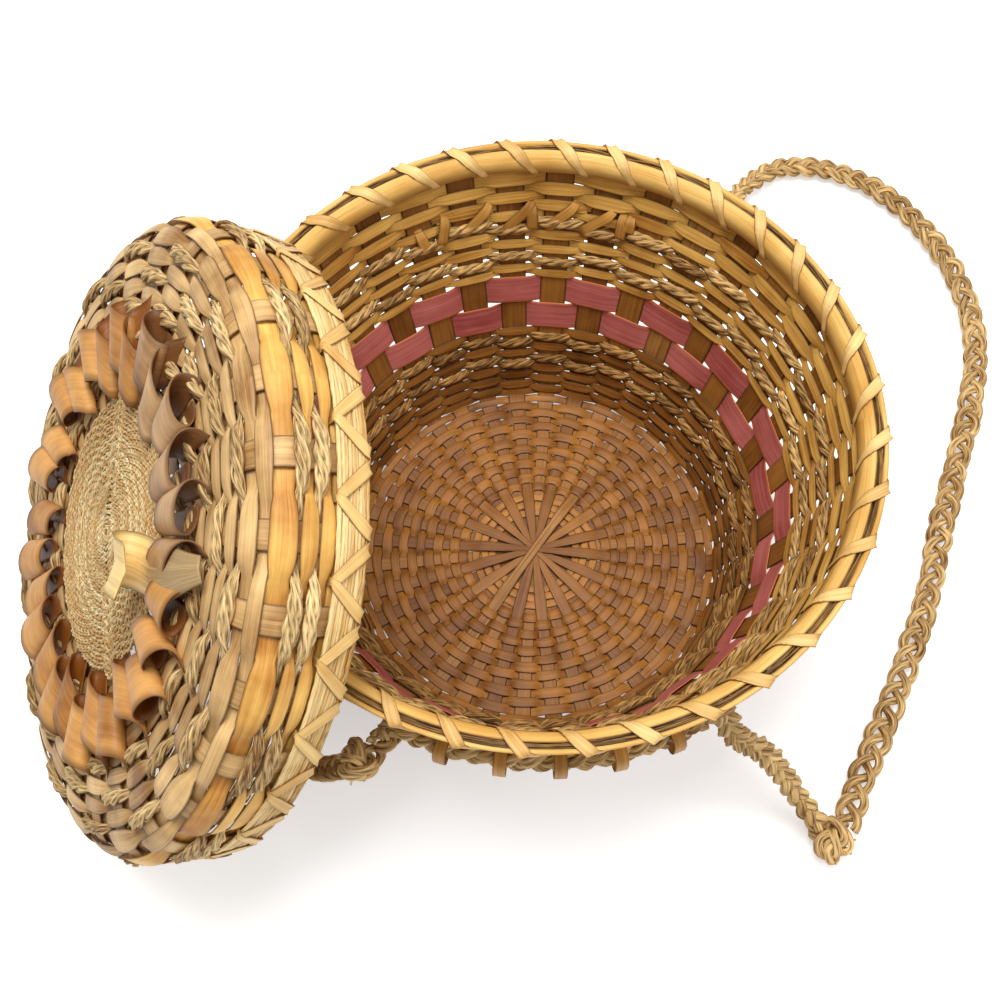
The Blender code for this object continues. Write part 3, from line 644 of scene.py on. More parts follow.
def half_stake(hub_level, upper):
    """Radius, height and width of a stake from the hub to the rim."""
    flat = np.linspace(0.5 * MM, BEND_START, 44)
    start, end = UPPER_SETTLES if upper else LOWER_SETTLES
    settle = ease(np.clip((flat - start) / (end - start), 0, 1))
    sunk = hub_level + (flat / (40 * MM)) * 0.5 * MM * (-1 if upper else 1)
    level = sunk + settle * (BASE_LEVEL - sunk)
    bend = np.linspace(0, 1, 9)[1:]
    knee, toe = wall_radius(BASE_LEVEL), wall_radius(BEND_TOP)
    bend_radius = (1 - bend) ** 2 * BEND_START + 2 * bend * (1 - bend) * knee + bend ** 2 * toe
    bend_level = BASE_LEVEL + bend ** 2 * (BEND_TOP - BASE_LEVEL)
    rise = np.linspace(BEND_TOP + 4 * MM, STAKE_TOP, 24)
    radius = np.concatenate([flat, bend_radius, wall_radius(rise)])
    height = np.concatenate([level, bend_level, rise])
    return radius, height, np.interp(radius, *STAKE_WIDTHS.T)


# %% The eighteen splints
TOP_SPLINT = 5
TOP_SPLINT_LEAST = 4.6 * MM
# the splints' thickness where they are pared, and farther out
PARED = 0.3 * MM
UNPARED = 0.7 * MM


def both_ways(angle, out, up):
    """A half line run backwards from the far side to the middle, then out at this side."""
    return np.concatenate([polar(angle + math.pi, out, up)[::-1], polar(angle, out, up)])


stakes = Piece("stakes")
top_splint = Piece("stake_pale_top")
lower = chance.permutation(np.arange(0, STAKE_COUNT // 2, 2))
upper = chance.permutation(np.arange(1, STAKE_COUNT // 2, 2))
upper = [index for index in upper if index != TOP_SPLINT] + [TOP_SPLINT]
for star, (low, high) in ((lower, LOWER_HUB), (upper, UPPER_HUB)):
    for place, index in enumerate(star):
        angle = STAKE_START + index * STAKE_STEP
        hub = low + (high - low) * place / (len(star) - 1)
        radius, height, width = half_stake(hub, star is upper)
        if index == TOP_SPLINT:
            width = np.maximum(width, TOP_SPLINT_LEAST)
        slope = unit(np.gradient(np.stack([radius, height], -1), axis=0))
        thickness = np.interp(radius, [20 * MM, 40 * MM], [PARED, UNPARED])
        tone = 0.5 + chance.uniform(-0.22, 0.22)
        lay_splint(
            top_splint if index == TOP_SPLINT else stakes, both_ways(angle, radius, height),
            both_ways(angle, -slope[:, 1], slope[:, 0]), np.concatenate([width[::-1], width]),
            np.concatenate([thickness[::-1], thickness]), tone, cup=0.0,
        )
stakes.finish(
    SPLINTS["stake"], "basket", "brown_splint", ["stakes_lower_layer", "stakes_upper_layer"]
)
top_splint.finish(SPLINTS["pale"], "basket", "brown_splint")

# %% [markdown]
# ## Weaving the base
# Twelve narrow splints go over and under the spokes in rings, and two more follow the bend up
# into the wall. Over and under are two levels, with a quick change between two spokes, which
# is what gives the tight basket look. Each stretch over a spoke bows a little, so dark
# crescents open beside it. The rows overlap slightly, because the narrow stakes under them
# would leave gaps.

# %% What changes along a row
CUTS_PER_STAKE = 12
round_angles = full_round(STAKE_COUNT * CUTS_PER_STAKE)


def stretch_values(angles, count, spread):
    """Values round a half, one for each visible stretch of a row, each blended to the next."""
    spots = 0.5 + chance.uniform(-spread, spread, count + 1)
    spots[-1] = spots[0]
    return np.interp(angles / TURN * count, np.arange(count + 1), spots)


def stretch_width(angles, count, least, spread, side):
    """A width that grows by the spread over each stake, a little differently every time."""
    uneven = 0.5 + stretch_values(angles, count, 0.16)
    return (least + spread * np.abs(side) ** 1.5) * (1 + (uneven - 1) * np.abs(side))


# %% Base rows
BASE_ROWS = 12
BASE_PIECES = 3
WOVEN_START = 34 * MM
WOVEN_END = 86.5 * MM
BASE_SPLINT = 0.55 * MM
BASE_REACH = 1.05 * MM
BASE_BOW = 0.8 * MM
# radius in millimetres, and tone
HUB_ROWS = ((21.4, 0.75), (25.6, 0.85), (30.0, 0.8))
HUB_LEVEL = 2.15 * MM
HUB_WIDTH = 3.9 * MM
HUB_SPLINT = 0.5 * MM
# radius and height in millimetres, and how far the row leans, in radians
CORNER_ROWS = ((89.0, 2.3, 0.3), (92.2, 5.0, 1.0))
CORNER_WIDTH = 4.0 * MM
CORNER_REACH = 0.95 * MM

row_pitch = (WOVEN_END - WOVEN_START) / BASE_ROWS
base_rows = [Piece(f"base_weavers_{number + 1}") for number in range(BASE_PIECES)]
for radius, tone in HUB_ROWS:
    line = polar(round_angles, radius * MM + wobble(round_angles, 0.35 * MM), HUB_LEVEL)
    lay_splint(
        base_rows[0], line, UP, HUB_WIDTH, HUB_SPLINT,
        stretch_values(round_angles, STAKE_COUNT, 0.25) + tone - 0.5, closed=True, cup=0.05,
    )
for number in range(BASE_ROWS):
    side = weave_side(round_angles, STAKE_COUNT, STAKE_START, number)
    bow = BASE_BOW * np.abs(side) ** 3 * stretch_values(round_angles, STAKE_COUNT, 0.5)
    drift = wobble(round_angles, 0.25 * MM, (2, 3, 5, 9))
    radius = WOVEN_START + (number + 0.5) * row_pitch + drift + bow
    level = BASE_LEVEL + side * BASE_REACH
    lay_splint(
        base_rows[number * BASE_PIECES // BASE_ROWS], polar(round_angles, radius, level), UP,
        row_pitch * stretch_width(round_angles, STAKE_COUNT, 1.2, -0.06, side), BASE_SPLINT,
        stretch_values(round_angles, STAKE_COUNT, 0.22), closed=True, cup=0.03,
    )
for number, (radius, level, tilt) in enumerate(CORNER_ROWS, BASE_ROWS):
    side = weave_side(round_angles, STAKE_COUNT, STAKE_START, number)[:, None]
    facing = polar(round_angles, -math.sin(tilt), math.cos(tilt))
    line = polar(round_angles, radius * MM, level * MM) + side * CORNER_REACH * facing
    lay_splint(
        base_rows[-1], line, facing, CORNER_WIDTH, BASE_SPLINT,
        stretch_values(round_angles, STAKE_COUNT, 0.22), closed=True, cup=0.03,
    )
for number, piece in enumerate(base_rows):
    piece.finish(SPLINTS["base"], "basket", "tan_splint", [f"base_row_{number + 1}"])
print(f"base rows: {BASE_ROWS}, {row_pitch / MM:.1f} mm apart")

# %% [markdown]
# ## Weaving the wall
# The wall holds 28 rows. Plain splints (s) and twisted sweetgrass (g) alternate in groups,
# two wide rose-dyed splints (r) lie in the middle, and a wider splint (w) ends it under the
# rim. Each string below fills one row of the imported model, from the bottom up. Every row
# passes inside the stakes that its neighbour passes outside. Where it lies over a stake it
# spreads to its full width, and between the stakes it shares the room with its neighbours.
# The rows below the dyed ones have a browner, darker finish, which is painted shade.

# %% Kinds of wall row
WALL_SPLINT = 0.6 * MM
# how far a plain splint, a wide or dyed one, and a twist lie off the middle of the stakes
PLAIN_REACH = 1.3 * MM
WIDE_REACH = 1.05 * MM
GRASS_REACH = 2.0 * MM
GRASS_PITCH = 21 * MM


def wall_line(angles, level, offset):
    """A row's line on the wall, at a distance off the stakes' middle."""
    return polar(angles, wall_radius(level), level) + offset[:, None] * wall_facing(angles)


def weave_wall_splint(piece, number, middle, pitch, kind):
    """A plain (s), wide (w) or rose-dyed (r) row; the dyed ones are evenly wide."""
    side = weave_side(round_angles, STAKE_COUNT, STAKE_START, number + 1)
    level = middle + wobble(round_angles, 0.02 * pitch + 0.12 * MM)
    plain_spread = chance.uniform(0.35, 0.6)
    spread = 0.15 if kind == "w" else plain_spread
    share = stretch_width(round_angles, STAKE_COUNT, 1.16, spread, side)
    if kind == "r":
        share = 1.06 - 0.02 * np.abs(side)
    offset = side * (PLAIN_REACH if kind == "s" else WIDE_REACH)
    lay_splint(
        piece, wall_line(round_angles, level, offset), wall_facing(round_angles),
        pitch * share, WALL_SPLINT, stretch_values(round_angles, STAKE_COUNT, 0.26),
        closed=True, cup=0.02,
    )


def weave_wall_grass(piece, number, middle, pitch):
    """A three-ply twist of grass; its plies turn quickly, so it has twice the cuts."""
    side = weave_side(round_angles, STAKE_COUNT, STAKE_START, number + 1)
    level = middle + wobble(round_angles, 0.02 * pitch + 0.15 * MM)
    fine = full_round(2 * len(round_angles))
    wrapped = np.append(round_angles, TURN)
    line = wall_line(round_angles, level, side * GRASS_REACH)
    swell = stretch_width(round_angles, STAKE_COUNT, 0.3, 0.13, side)
    lay_twist(
        piece, between(fine, wrapped, np.append(line, line[:1], 0)), wall_facing(fine),
        pitch * np.interp(fine, wrapped, np.append(swell, swell[0])), GRASS_PITCH,
        stretch_values(fine, STAKE_COUNT, 0.24), closed=True, flat=0.7, plies=3, sides=10,
    )


# %% Wall rows, from the bottom up
WALL_BANDS = {
    "lower_row_1": "ssss", "lower_row_2": "sggs", "lower_row_3": "sggs",
    "dyed_row_lower": "r", "dyed_row_upper": "r",
    "upper_row_1": "ssg", "upper_row_2": "gss", "strap_row": "sggs",
    "under_rim_row": "sss", "rim_row": "w",
}

number = 0
for node, kinds in WALL_BANDS.items():
    low, high = (corner.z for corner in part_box(node))
    pitch = (high - low) / len(kinds)
    splints = Piece(node + "_splints")
    grass = Piece(node + "_grass")
    for place, kind in enumerate(kinds):
        middle = low + (place + 0.5) * pitch
        if kind == "g":
            weave_wall_grass(grass, number, middle, pitch)
        else:
            weave_wall_splint(splints, number, middle, pitch, kind)
        number += 1
    wood, slot = ("rose", "rose_splint") if "r" in kinds else ("weaver", "tan_splint")
    # the rows low on the wall take the darker finishes, which are painted shade
    low_down = node.startswith("lower")
    splints.finish(SPLINTS["shaded" if low_down else wood], "basket", slot, [node])
    if "g" in kinds:
        blades = GRASSES["shaded" if low_down else "wall"]
        grass.finish(blades, "basket", "sweetgrass", [node])
print("wall rows:", number)

# %% [markdown]
# ## Rim
# Two planed hoops clamp the ends of the stakes, with straw laid between them to fill the gap.
# The inner hoop is thick and keeps the flat facets of the knife. A long splint lashes all
# together: it passes under the hoops between two stakes, goes up outside, slants over the top
# and comes down inside.

# %% A planed hoop
CHAMFER_STEEPNESS = 1.15
HOOP_CUTS = 216
hoop_angles = full_round(HOOP_CUTS)


def lay_hoop(piece, radius_at, low, high, inner, outer, bevel, unevenness, chamfer=None):
    """A bent strip with eased edges, closed on itself; the chamfer pares its inner top edge."""
    chamfer = chamfer or bevel
    spots = [
        (inner + chamfer, high), (outer - bevel, high), (outer, high - bevel),
        (outer, low + bevel), (outer - bevel, low), (inner + bevel, low),
        (inner, low + bevel), (inner, high - CHAMFER_STEEPNESS * chamfer),
    ]
    # the knife's facets are steps, softened over five cuts and deeper on the inner face
    facets = np.round(wobble(hoop_angles, 1.2, (5, 8, 13))) * unevenness
    facets = np.convolve(np.tile(facets, 3), np.ones(5) / 5, "same")[HOOP_CUTS:2 * HOOP_CUTS]
    sections = []
    for offset, height in spots:
        pared = facets if offset < (inner + outer) / 2 else 0.3 * facets
        radius = radius_at(height) + offset + pared
        sections.append(polar(hoop_angles, radius, height + 0.5 * pared))
    widths = np.array([0, outer - inner, 0, high - low, 0, outer - inner, 0, high - low])
    # painted shade: the hoop darkens towards its underside and lower inner face, lightest on top
    edge = np.array([0.0, 0.2, 0.3, 0.3, 0.5, 0.5, 0.45, 0.0])
    piece.sweep(
        np.stack(sections, 1), travelled(polar(hoop_angles, radius_at(high), high), True),
        np.concatenate([[0], np.cumsum(widths + bevel)]),
        0.55 + 0.15 * wobble(hoop_angles, 1.0)[:, None], edge, True,
    )


# %% Rim hoops
HOOP_LOW, HOOP_HIGH = (corner.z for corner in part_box("rim_inner_hoop"))
# each hoop's inner and outer face, measured from the middle of the stakes
INNER_HOOP = (-5.3 * MM, -1.3 * MM)
OUTER_HOOP = (1.5 * MM, 3.5 * MM)
HOOP_CHAMFER = 2.4 * MM

inner_hoop = Piece("rim_hoop_inside")
lay_hoop(
    inner_hoop, wall_radius, HOOP_LOW, HOOP_HIGH, *INNER_HOOP, bevel=0.7 * MM,
    unevenness=0.25 * MM, chamfer=HOOP_CHAMFER,
)
inner_hoop.finish(SPLINTS["hoop"], "basket", "pale_splint", ["rim_inner_hoop"])
outer_hoop = Piece("rim_hoop_outside")
lay_hoop(
    outer_hoop, wall_radius, HOOP_LOW, HOOP_HIGH, *OUTER_HOOP, bevel=0.5 * MM,
    unevenness=0.15 * MM,
)
outer_hoop.finish(SPLINTS["hoop"], "basket", "pale_splint", ["rim_outer_hoop"])

# %% Straw between the hoops
FILLER_STRAWS = 6
FILLER_DEPTH = 1.4 * MM
FILLER_RADIUS = 0.45 * MM

gap_inside, gap_outside = INNER_HOOP[1], OUTER_HOOP[0]
filler = Piece("rim_straw")
for straw in range(FILLER_STRAWS):
    share = (straw + 0.5) / FILLER_STRAWS
    offset = gap_inside + share * (gap_outside - gap_inside) + wobble(hoop_angles, 0.35 * MM)
    height = HOOP_HIGH - FILLER_DEPTH + wobble(hoop_angles, 0.8 * MM, (4, 9, 14, 23))
    line = polar(hoop_angles, wall_radius(height) + offset, height)
    tone = chance.uniform(0.2, 0.8)
    lay_ply(filler, line, UP, FILLER_RADIUS, tone, closed=True, flat=1.0, ridges=3, sides=6)
filler.finish(SPLINTS["filler"], "basket", "sweetgrass", ["rim_filler"])

# %% A splint wound round hoops
# shares of a turn, and the width there as a share of the splint's
LASHING_TAPER = ((0, 0.05, 0.3, 0.7, 1), (0.6, 0.85, 1, 1, 0.55))
SIDE_SPOTS = 5


def hoop_outline(through, edge, inner, outer, away, chamfer=0.0, corner=0.9 * MM):
    """Round two hoops in section: from the gap, up the outside, over the edge and back.

    Each row holds an offset and a height, the share of the way after the gap, and the
    direction out of the splint's face.
    """
    up = math.copysign(1, edge - through)
    low, high = through - up * away, edge + up * away
    near, far = inner - away, outer + away
    turns = [(near, low), (far, low), (far, high), (near + chamfer, high)]
    if chamfer:
        turns.append((near, high - up * CHAMFER_STEEPNESS * chamfer))
    turns = np.array(turns + [(near, low)])
    spots = []
    for start, end in zip(turns, turns[1:]):
        length = np.linalg.norm(end - start)
        inset = min(corner, 0.3 * length) / length
        shares = np.linspace(inset, 1 - inset, SIDE_SPOTS)
        spots += [start + share * (end - start) for share in shares]
    spots = np.array(spots)
    far_on = travelled(spots)
    through_gap = far_on[SIDE_SPOTS - 1]
    share = np.clip((far_on - through_gap) / (far_on[-1] - through_gap), 0, 1)
    slope = np.gradient(spots, axis=0) * up
    return np.column_stack([spots, share, slope[:, 1], -slope[:, 0]])


def lay_lashing(piece, outline, radius_at, starts, step, width, thickness):
    """A splint wound round the outline once from each start to the next."""
    offset, height, share, out, up = outline.T
    count = len(starts)
    angles = (np.asarray(starts)[:, None] + share * step).reshape(-1)
    heights = np.tile(height, count)
    line = polar(angles, radius_at(heights) + np.tile(offset, count), heights)
    facing = polar(angles, np.tile(out, count), np.tile(up, count))
    tone = np.repeat(0.55 + chance.uniform(-0.2, 0.2, count), len(offset))
    width = width * np.tile(np.interp(share, *LASHING_TAPER), count)
    lay_splint(piece, line, unit(facing), width, thickness, tone, cup=0.0)


# %% Rim lashing
LASHING_WIDTH = 5.4 * MM
LASHING = 0.5 * MM

rim_outline = hoop_outline(
    HOOP_LOW, HOOP_HIGH, INNER_HOOP[0], OUTER_HOOP[1], away=0.45 * MM, chamfer=HOOP_CHAMFER
)
rim_lashing = Piece("rim_lashing_splint")
starts = STAKE_START + STAKE_STEP / 2 - np.arange(STAKE_COUNT) * STAKE_STEP
lay_lashing(rim_lashing, rim_outline, wall_radius, starts, -STAKE_STEP, LASHING_WIDTH, LASHING)
rim_lashing.finish(SPLINTS["lashing"], "basket", "gold_splint", ["rim_lashing"])

# %% [markdown]
# ## Strap
# The handle is a three-strand braid of sweetgrass, 12 mm wide. Each strand swings from side
# to side and passes over and under the other two, a figure of eight seen from the end. It
# lies along the wall in front and behind, held by splint stitches, and its free lengths lie
# on the table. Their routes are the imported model's, in millimetres.

# %% Routes of the strap
STRAP = 12 * MM
STRAP_LEVEL = 107 * MM
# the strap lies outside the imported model's rows, which reach this far off the stakes' middle
ROW_REACH = 1.2 * MM
STRAP_GAP = 1.2 * MM
STRAP_RADIUS = wall_radius(STRAP_LEVEL) + ROW_REACH + SPLINT / 2 + STRAP_GAP + STRAP / 2
RUN_HALF = math.radians(27)
FRONT_ANGLE = math.radians(-89.5)
BACK_ANGLE = math.radians(90.5)
RIGHT_BACK = [
    (66, 128, 105), (80, 134, 94), (90, 148, 74), (97, 168, 50), (106, 192, 28),
    (118, 216, 13), (134, 234, 7.5), (154, 241, 6.4), (174, 237, 6.4), (194, 228, 6.4),
    (211, 213, 6.4), (225, 192, 6.4), (236, 167, 6.4), (241, 142, 6.4), (241, 116, 6.4),
    (234, 86, 6.4), (224, 55, 6.4), (212, 22, 6.4), (203, -6, 6.4), (195, -30, 6.4),
    (184, -56, 6.4), (171, -84, 6.4), (158, -109, 6.4), (149, -128, 6.8),
    (142.3, -141.2, 8.3),
]
RIGHT_FRONT = [
    (75, -120, 96), (88, -119, 76), (103, -122, 52), (116, -130, 30), (124, -137, 18),
    (130.1, -142.5, 13.2),
]
FRONT_LEFT = [(-62, -123.5, 106), (-67.7, -128.0, 101.4)]
LEFT = [
    (-81.2, -133, 88.0), (-89, -132, 76), (-100, -124, 55), (-109, -110, 31),
    (-116, -91, 14), (-121, -66, 7), (-124, -38, 6.4), (-125, -8, 6.4), (-123, 22, 6.4),
    (-118, 50, 6.4), (-110, 76, 8), (-101, 97, 19), (-91, 112, 40), (-81, 121, 66),
    (-71, 124, 90),
]
KNOT_RIGHT = np.array((135, -148.5, 10.9)) * MM
KNOT_LEFT = np.array((-75, -133, 96)) * MM


def smooth_line(points, spacing):
    """An evenly spaced line through the points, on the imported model's own curve."""
    points = np.asarray(points, float)
    padded = np.concatenate([[2 * points[0] - points[1]], points, [2 * points[-1] - points[-2]]])
    lean = (padded[2:] - padded[:-2]) / 2
    share = np.arange(16)[:, None] / 16
    spans = []
    for start, end, leave, arrive in zip(points, points[1:], lean, lean[1:]):
        spans.append(
            start * (2 * share**3 - 3 * share**2 + 1) + leave * (share**3 - 2 * share**2 + share)
            + end * (3 * share**2 - 2 * share**3) + arrive * (share**3 - share**2)
        )
    fine = np.concatenate(spans + [points[-1:]])
    far = travelled(fine)
    return between(np.linspace(0, far[-1], max(2, round(far[-1] / spacing)) + 1), far, fine)


def run_end(middle, sign):
    """Where the strap leaves the wall, and the way it then points."""
    angle = middle + sign * RUN_HALF
    heading = np.array((-math.sin(angle), math.cos(angle), 0.0)) * sign
    return polar(angle, STRAP_RADIUS, STRAP_LEVEL) + heading * STRAP / 4, heading


def free_route(end, route):
    """The centre line of a free length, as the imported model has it."""
    place, heading = end
    start = place + heading * 0.3 * MM
    points = [place + heading * 0.7 * STRAP] + [np.array(point) * MM for point in route]
    return np.concatenate([[start], smooth_line(points, 2 * STRAP)])


# %% The braid
BRAID_PITCH = 26 * MM
BRAID_SPACING = 1.2 * MM
# shares of the strap's width
STRAND_RADIUS = 0.215
STRAND_RISE = 0.15


def slack(far, scale):
    """Smooth chance values from -1 to 1 along a line, one for each scale length."""
    spots = np.arange(0, far[-1] + 2 * scale, scale)
    values = chance.uniform(-1, 1, len(spots))
    near = np.clip(np.floor(far / scale).astype(int), 0, len(spots) - 2)
    share = ease(far / scale - near)
    return values[near] * (1 - share) + values[near + 1] * share


def lay_braid(piece, line, facing, loose=0.0, spread=0.26):
    """Three strands of grass braided along a line, open where they are loose."""
    out, across = line_frame(line, facing)
    far = travelled(line)
    pitch = np.broadcast_to(BRAID_PITCH * (1 + 0.2 * loose), len(line))
    turned = TURN * np.concatenate([[0.0], np.cumsum(np.diff(far) / pitch[1:])])
    for strand in range(3):
        swing = turned + strand * TURN / 3 + 0.25 * slack(far, 19 * MM)
        sway = (spread + 0.15 * loose) * STRAP * np.sin(swing) * (1 + 0.12 * slack(far, 23 * MM))
        rise = STRAND_RISE * STRAP * np.sin(2 * swing)
        centre = line + sway[:, None] * across + rise[:, None] * out
        radius = STRAP * (STRAND_RADIUS - 0.05 * loose) * (1 + 0.14 * slack(far, 9 * MM))
        lay_ply(
            piece, centre, facing, radius, 0.5 + 0.22 * slack(far, 8 * MM),
            flat=0.82, ridges=4, sides=14,
        )


# %% The braid on the wall
def outwards(points):
    """Level directions away from the axis."""
    return unit(points * [1.0, 1.0, 0.0])


def lay_run(name, node, middle, lead):
    """The strap where it lies against the wall, from its lead to the other end."""
    angles = np.linspace(middle - RUN_HALF, middle + RUN_HALF, 24)
    wall = polar(angles, STRAP_RADIUS, STRAP_LEVEL)
    line = smooth_line(np.concatenate([lead, wall, [run_end(middle, 1)[0]]]), BRAID_SPACING)
    piece = Piece(name)
    lay_braid(piece, line, outwards(line), spread=0.33)
    piece.finish(GRASSES["braid"], "basket", "sweetgrass", [node])


lay_run("braid_front", "strap_front", FRONT_ANGLE, np.array(FRONT_LEFT[::-1]) * MM)
lay_run("braid_back", "strap_back", BACK_ANGLE, [run_end(BACK_ANGLE, -1)[0]])

# %% The free lengths
UNTWIST_LENGTH = 120 * MM
ROUTES = {
    "braid_loop_right": (run_end(BACK_ANGLE, -1), RIGHT_BACK, "strap_loop_right"),
    "braid_tail_right": (run_end(FRONT_ANGLE, 1), RIGHT_FRONT, "strap_tail_right"),
    "braid_loop_left": (run_end(BACK_ANGLE, 1), LEFT[::-1], "strap_loop_left"),
}


def level_facing(line, start):
    """The braid's flat side: out of the wall at the start, and upwards on the table."""
    share = np.clip(travelled(line) / UNTWIST_LENGTH, 0, 1)[:, None]
    return unit((1 - share) * start + share * UP)


braids = {}
for name, (end, route, node) in ROUTES.items():
    route = free_route(end, route)
    line = smooth_line(route, BRAID_SPACING)
    far = travelled(line)
    loose = 0.0
    if name == "braid_loop_right":
        # the braid has opened where it lies on the table
        loose = np.interp(far / far[-1], [0.3, 0.42, 1.0], [0.1, 0.7, 1.0])
    piece = Piece(name)
    lay_braid(piece, line, level_facing(line, outwards(route[0])), loose)
    braid = piece.finish(GRASSES["braid"], "basket", "sweetgrass", [node])
    braids[name] = (braid, route)
    print(f"{name}: {travelled(route)[-1] / MM:.0f} mm long")

# %% [markdown]
# ## Knots
# The strap's ends are knotted together. A trefoil is the plainest closed curve that looks
# tied, so three bundles of grass follow one in different turns, and short cut ends stand out.

# %% Knots
KNOT_BUNDLES = (1.0, 0.82, 0.9)
KNOT_ENDS = 12
BLADE_WIDTH = 1.3 * MM
BLADE = 0.3 * MM


def lay_knot(name, node, centre, heading, size):
    """Three trefoils of about this radius, and cut ends that point roughly along the heading."""
    turn = np.array(Vector(heading).to_track_quat("Z", "Y").to_matrix())
    angles = full_round(90)
    piece = Piece(name)
    for bundle, share in enumerate(KNOT_BUNDLES):
        trefoil = np.stack([
            np.sin(angles) + 2 * np.sin(2 * angles),
            np.cos(angles) - 2 * np.cos(2 * angles),
            -1.6 * np.sin(3 * angles),
        ], -1) * size * share / 6
        tilt = bundle * TURN / 6 + 0.3
        spun = np.array([
            [math.cos(tilt), -math.sin(tilt), 0], [math.sin(tilt), math.cos(tilt), 0], [0, 0, 1],
        ])
        line = centre + trefoil @ spun.T @ turn.T + turn[:, 2] * (bundle - 1) * 0.16 * size
        lay_ply(
            piece, line, unit(line - centre), 0.13 * size * (1 + 0.15 * np.sin(5 * angles)),
            0.5 + 0.15 * bundle, closed=True, ridges=4, sides=14,
        )
    for _ in range(KNOT_ENDS):
        away = unit(turn @ np.array([*chance.uniform(-1, 1, 2), chance.uniform(0.2, 1.0)]))
        bow = unit(np.cross(away, chance.uniform(-1, 1, 3)))
        share = np.linspace(0, 1, 8)[:, None]
        reach = chance.uniform(0.7, 1.0) * size * 0.66
        strand = centre + away * reach * share + bow * 1.6 * MM * share**2
        lay_splint(piece, strand, bow, BLADE_WIDTH, BLADE, 0.6)
    return piece.finish(GRASSES["braid"], "basket", "sweetgrass", [node])


knot_right = lay_knot("knot_right", "strap_knot_right", KNOT_RIGHT, (0.6, -0.5, -0.3), 17 * MM)
knot_left = lay_knot("knot_left", "strap_knot_left", KNOT_LEFT, (-0.7, -0.3, -0.7), 16 * MM)
for name, knots in (
    ("braid_loop_right", [knot_right]), ("braid_tail_right", []), ("braid_loop_left", [knot_left]),
):
    braid, route = braids[name]

# %% [markdown]
# ## Stitches that hold the strap
# A splint holds each run of the braid. It crosses the braid upright on the outside, goes
# through between two rows, and slants to the next gap inside. Inside the back wall most of
# these stitches slant one way, and the first and the last open into a V.

# %% Two kinds of stitch
STITCH_WIDTH = 5.4 * MM
STITCH = 0.5 * MM
STITCH_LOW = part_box("strap_row")[0].z - 0.65 * MM
STITCH_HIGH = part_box("strap_row")[1].z + 0.65 * MM
STITCH_INSIDE = 3.4 * MM


def lay_outside_stitch(piece, angle):
    """One upright stitch over the braid: out between two rows, up, and in again."""
    outside = STRAP_RADIUS + STRAP / 2 + 0.7 * MM
    low_in, high_in = (wall_radius(level) - 1 * MM for level in (STITCH_LOW, STITCH_HIGH))
    # radius and height, and the direction in which the splint's face looks
    spots = np.array([
        (low_in, STITCH_LOW, 0, -1), (outside - 3.5 * MM, STITCH_LOW + 0.2 * MM, 0.5, -1),
        (outside - 0.5 * MM, STITCH_LOW + 3.2 * MM, 1, -0.3), (outside, STRAP_LEVEL, 1, 0),
        (outside - 0.5 * MM, STITCH_HIGH - 3.2 * MM, 1, 0.3),
        (outside - 3.5 * MM, STITCH_HIGH - 0.2 * MM, 0.5, 1), (high_in, STITCH_HIGH, 0, 1),
    ])
    radius, height, out, up = spots.T
    coarse = polar(angle, radius, height)
    line = smooth_line(coarse, 1.5 * MM)
    share = travelled(line) / travelled(line)[-1]
    known = travelled(coarse) / travelled(coarse)[-1]
    facing = unit(between(share, known, polar(angle, out, up)))
    lay_splint(piece, line, facing, STITCH_WIDTH, STITCH, chance.uniform(0.3, 0.7), cup=0.0)


def lay_slant(piece, top_angle, top, low_angle, low):
    """One slanting length on the inside of the wall, with its ends tucked in."""
    share = np.linspace(0, 1, 16)
    angle = np.radians(top_angle + share * (low_angle - top_angle))
    height = (top + share * (low - top)) * MM
    depth = STITCH_INSIDE - 3.2 * MM * np.abs(2 * share - 1) ** 6
    line = polar(angle, wall_radius(height) - depth, height)
    width = STITCH_WIDTH * np.interp(share, [0, 0.2, 0.8, 1], [0.7, 1, 1, 0.75])
    lay_splint(
        piece, line, -wall_facing(angle), width, STITCH, chance.uniform(0.35, 0.8), cup=0.02
    )


# %% Stitches in front and behind
# angles in degrees from the middle one
STITCH_PLACES = (-20, -10, 0, 10, 20)
# the angle in degrees and the level in millimetres of a slant's top end and of its low end
BACK_SLANTS = (
    (116.0, 115.5, 114.9, 102.5), (109.8, 118.5, 111.9, 104.0), (99.9, 120.0, 107.2, 106.5),
    (91.0, 119.5, 97.9, 105.0), (91.0, 117.5, 91.0, 104.5), (81.6, 120.0, 88.5, 105.5),
    (73.5, 119.5, 80.7, 105.5), (71.6, 118.5, 71.4, 105.0), (69.8, 118.5, 69.9, 110.0),
)
FRONT_SLANTS = tuple(
    (angle, 117.0, angle + 8.0, 104.0) for angle in (-107.0, -97.0, -87.0, -77.0, -67.0)
)

for name, node, middle, slants in (
    ("stitches_front", "strap_keeper_front", -87.3, FRONT_SLANTS),
    ("stitches_back", "strap_keeper_back", 90.5, BACK_SLANTS),
):
    piece = Piece(name)
    for place in STITCH_PLACES:
        lay_outside_stitch(piece, math.radians(middle + place))
    for slant in slants:
        lay_slant(piece, *slant)
    piece.finish(SPLINTS["keeper"], "basket", "tan_splint", [node])

# %% [markdown]
# ## Lid
# The lid is woven on 28 ribs, like a shallow basket turned over, and stands on its edge
# beside the basket. Its pieces are made round its own upright axis, and one matrix leans them
# into place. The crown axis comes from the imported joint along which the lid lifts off.

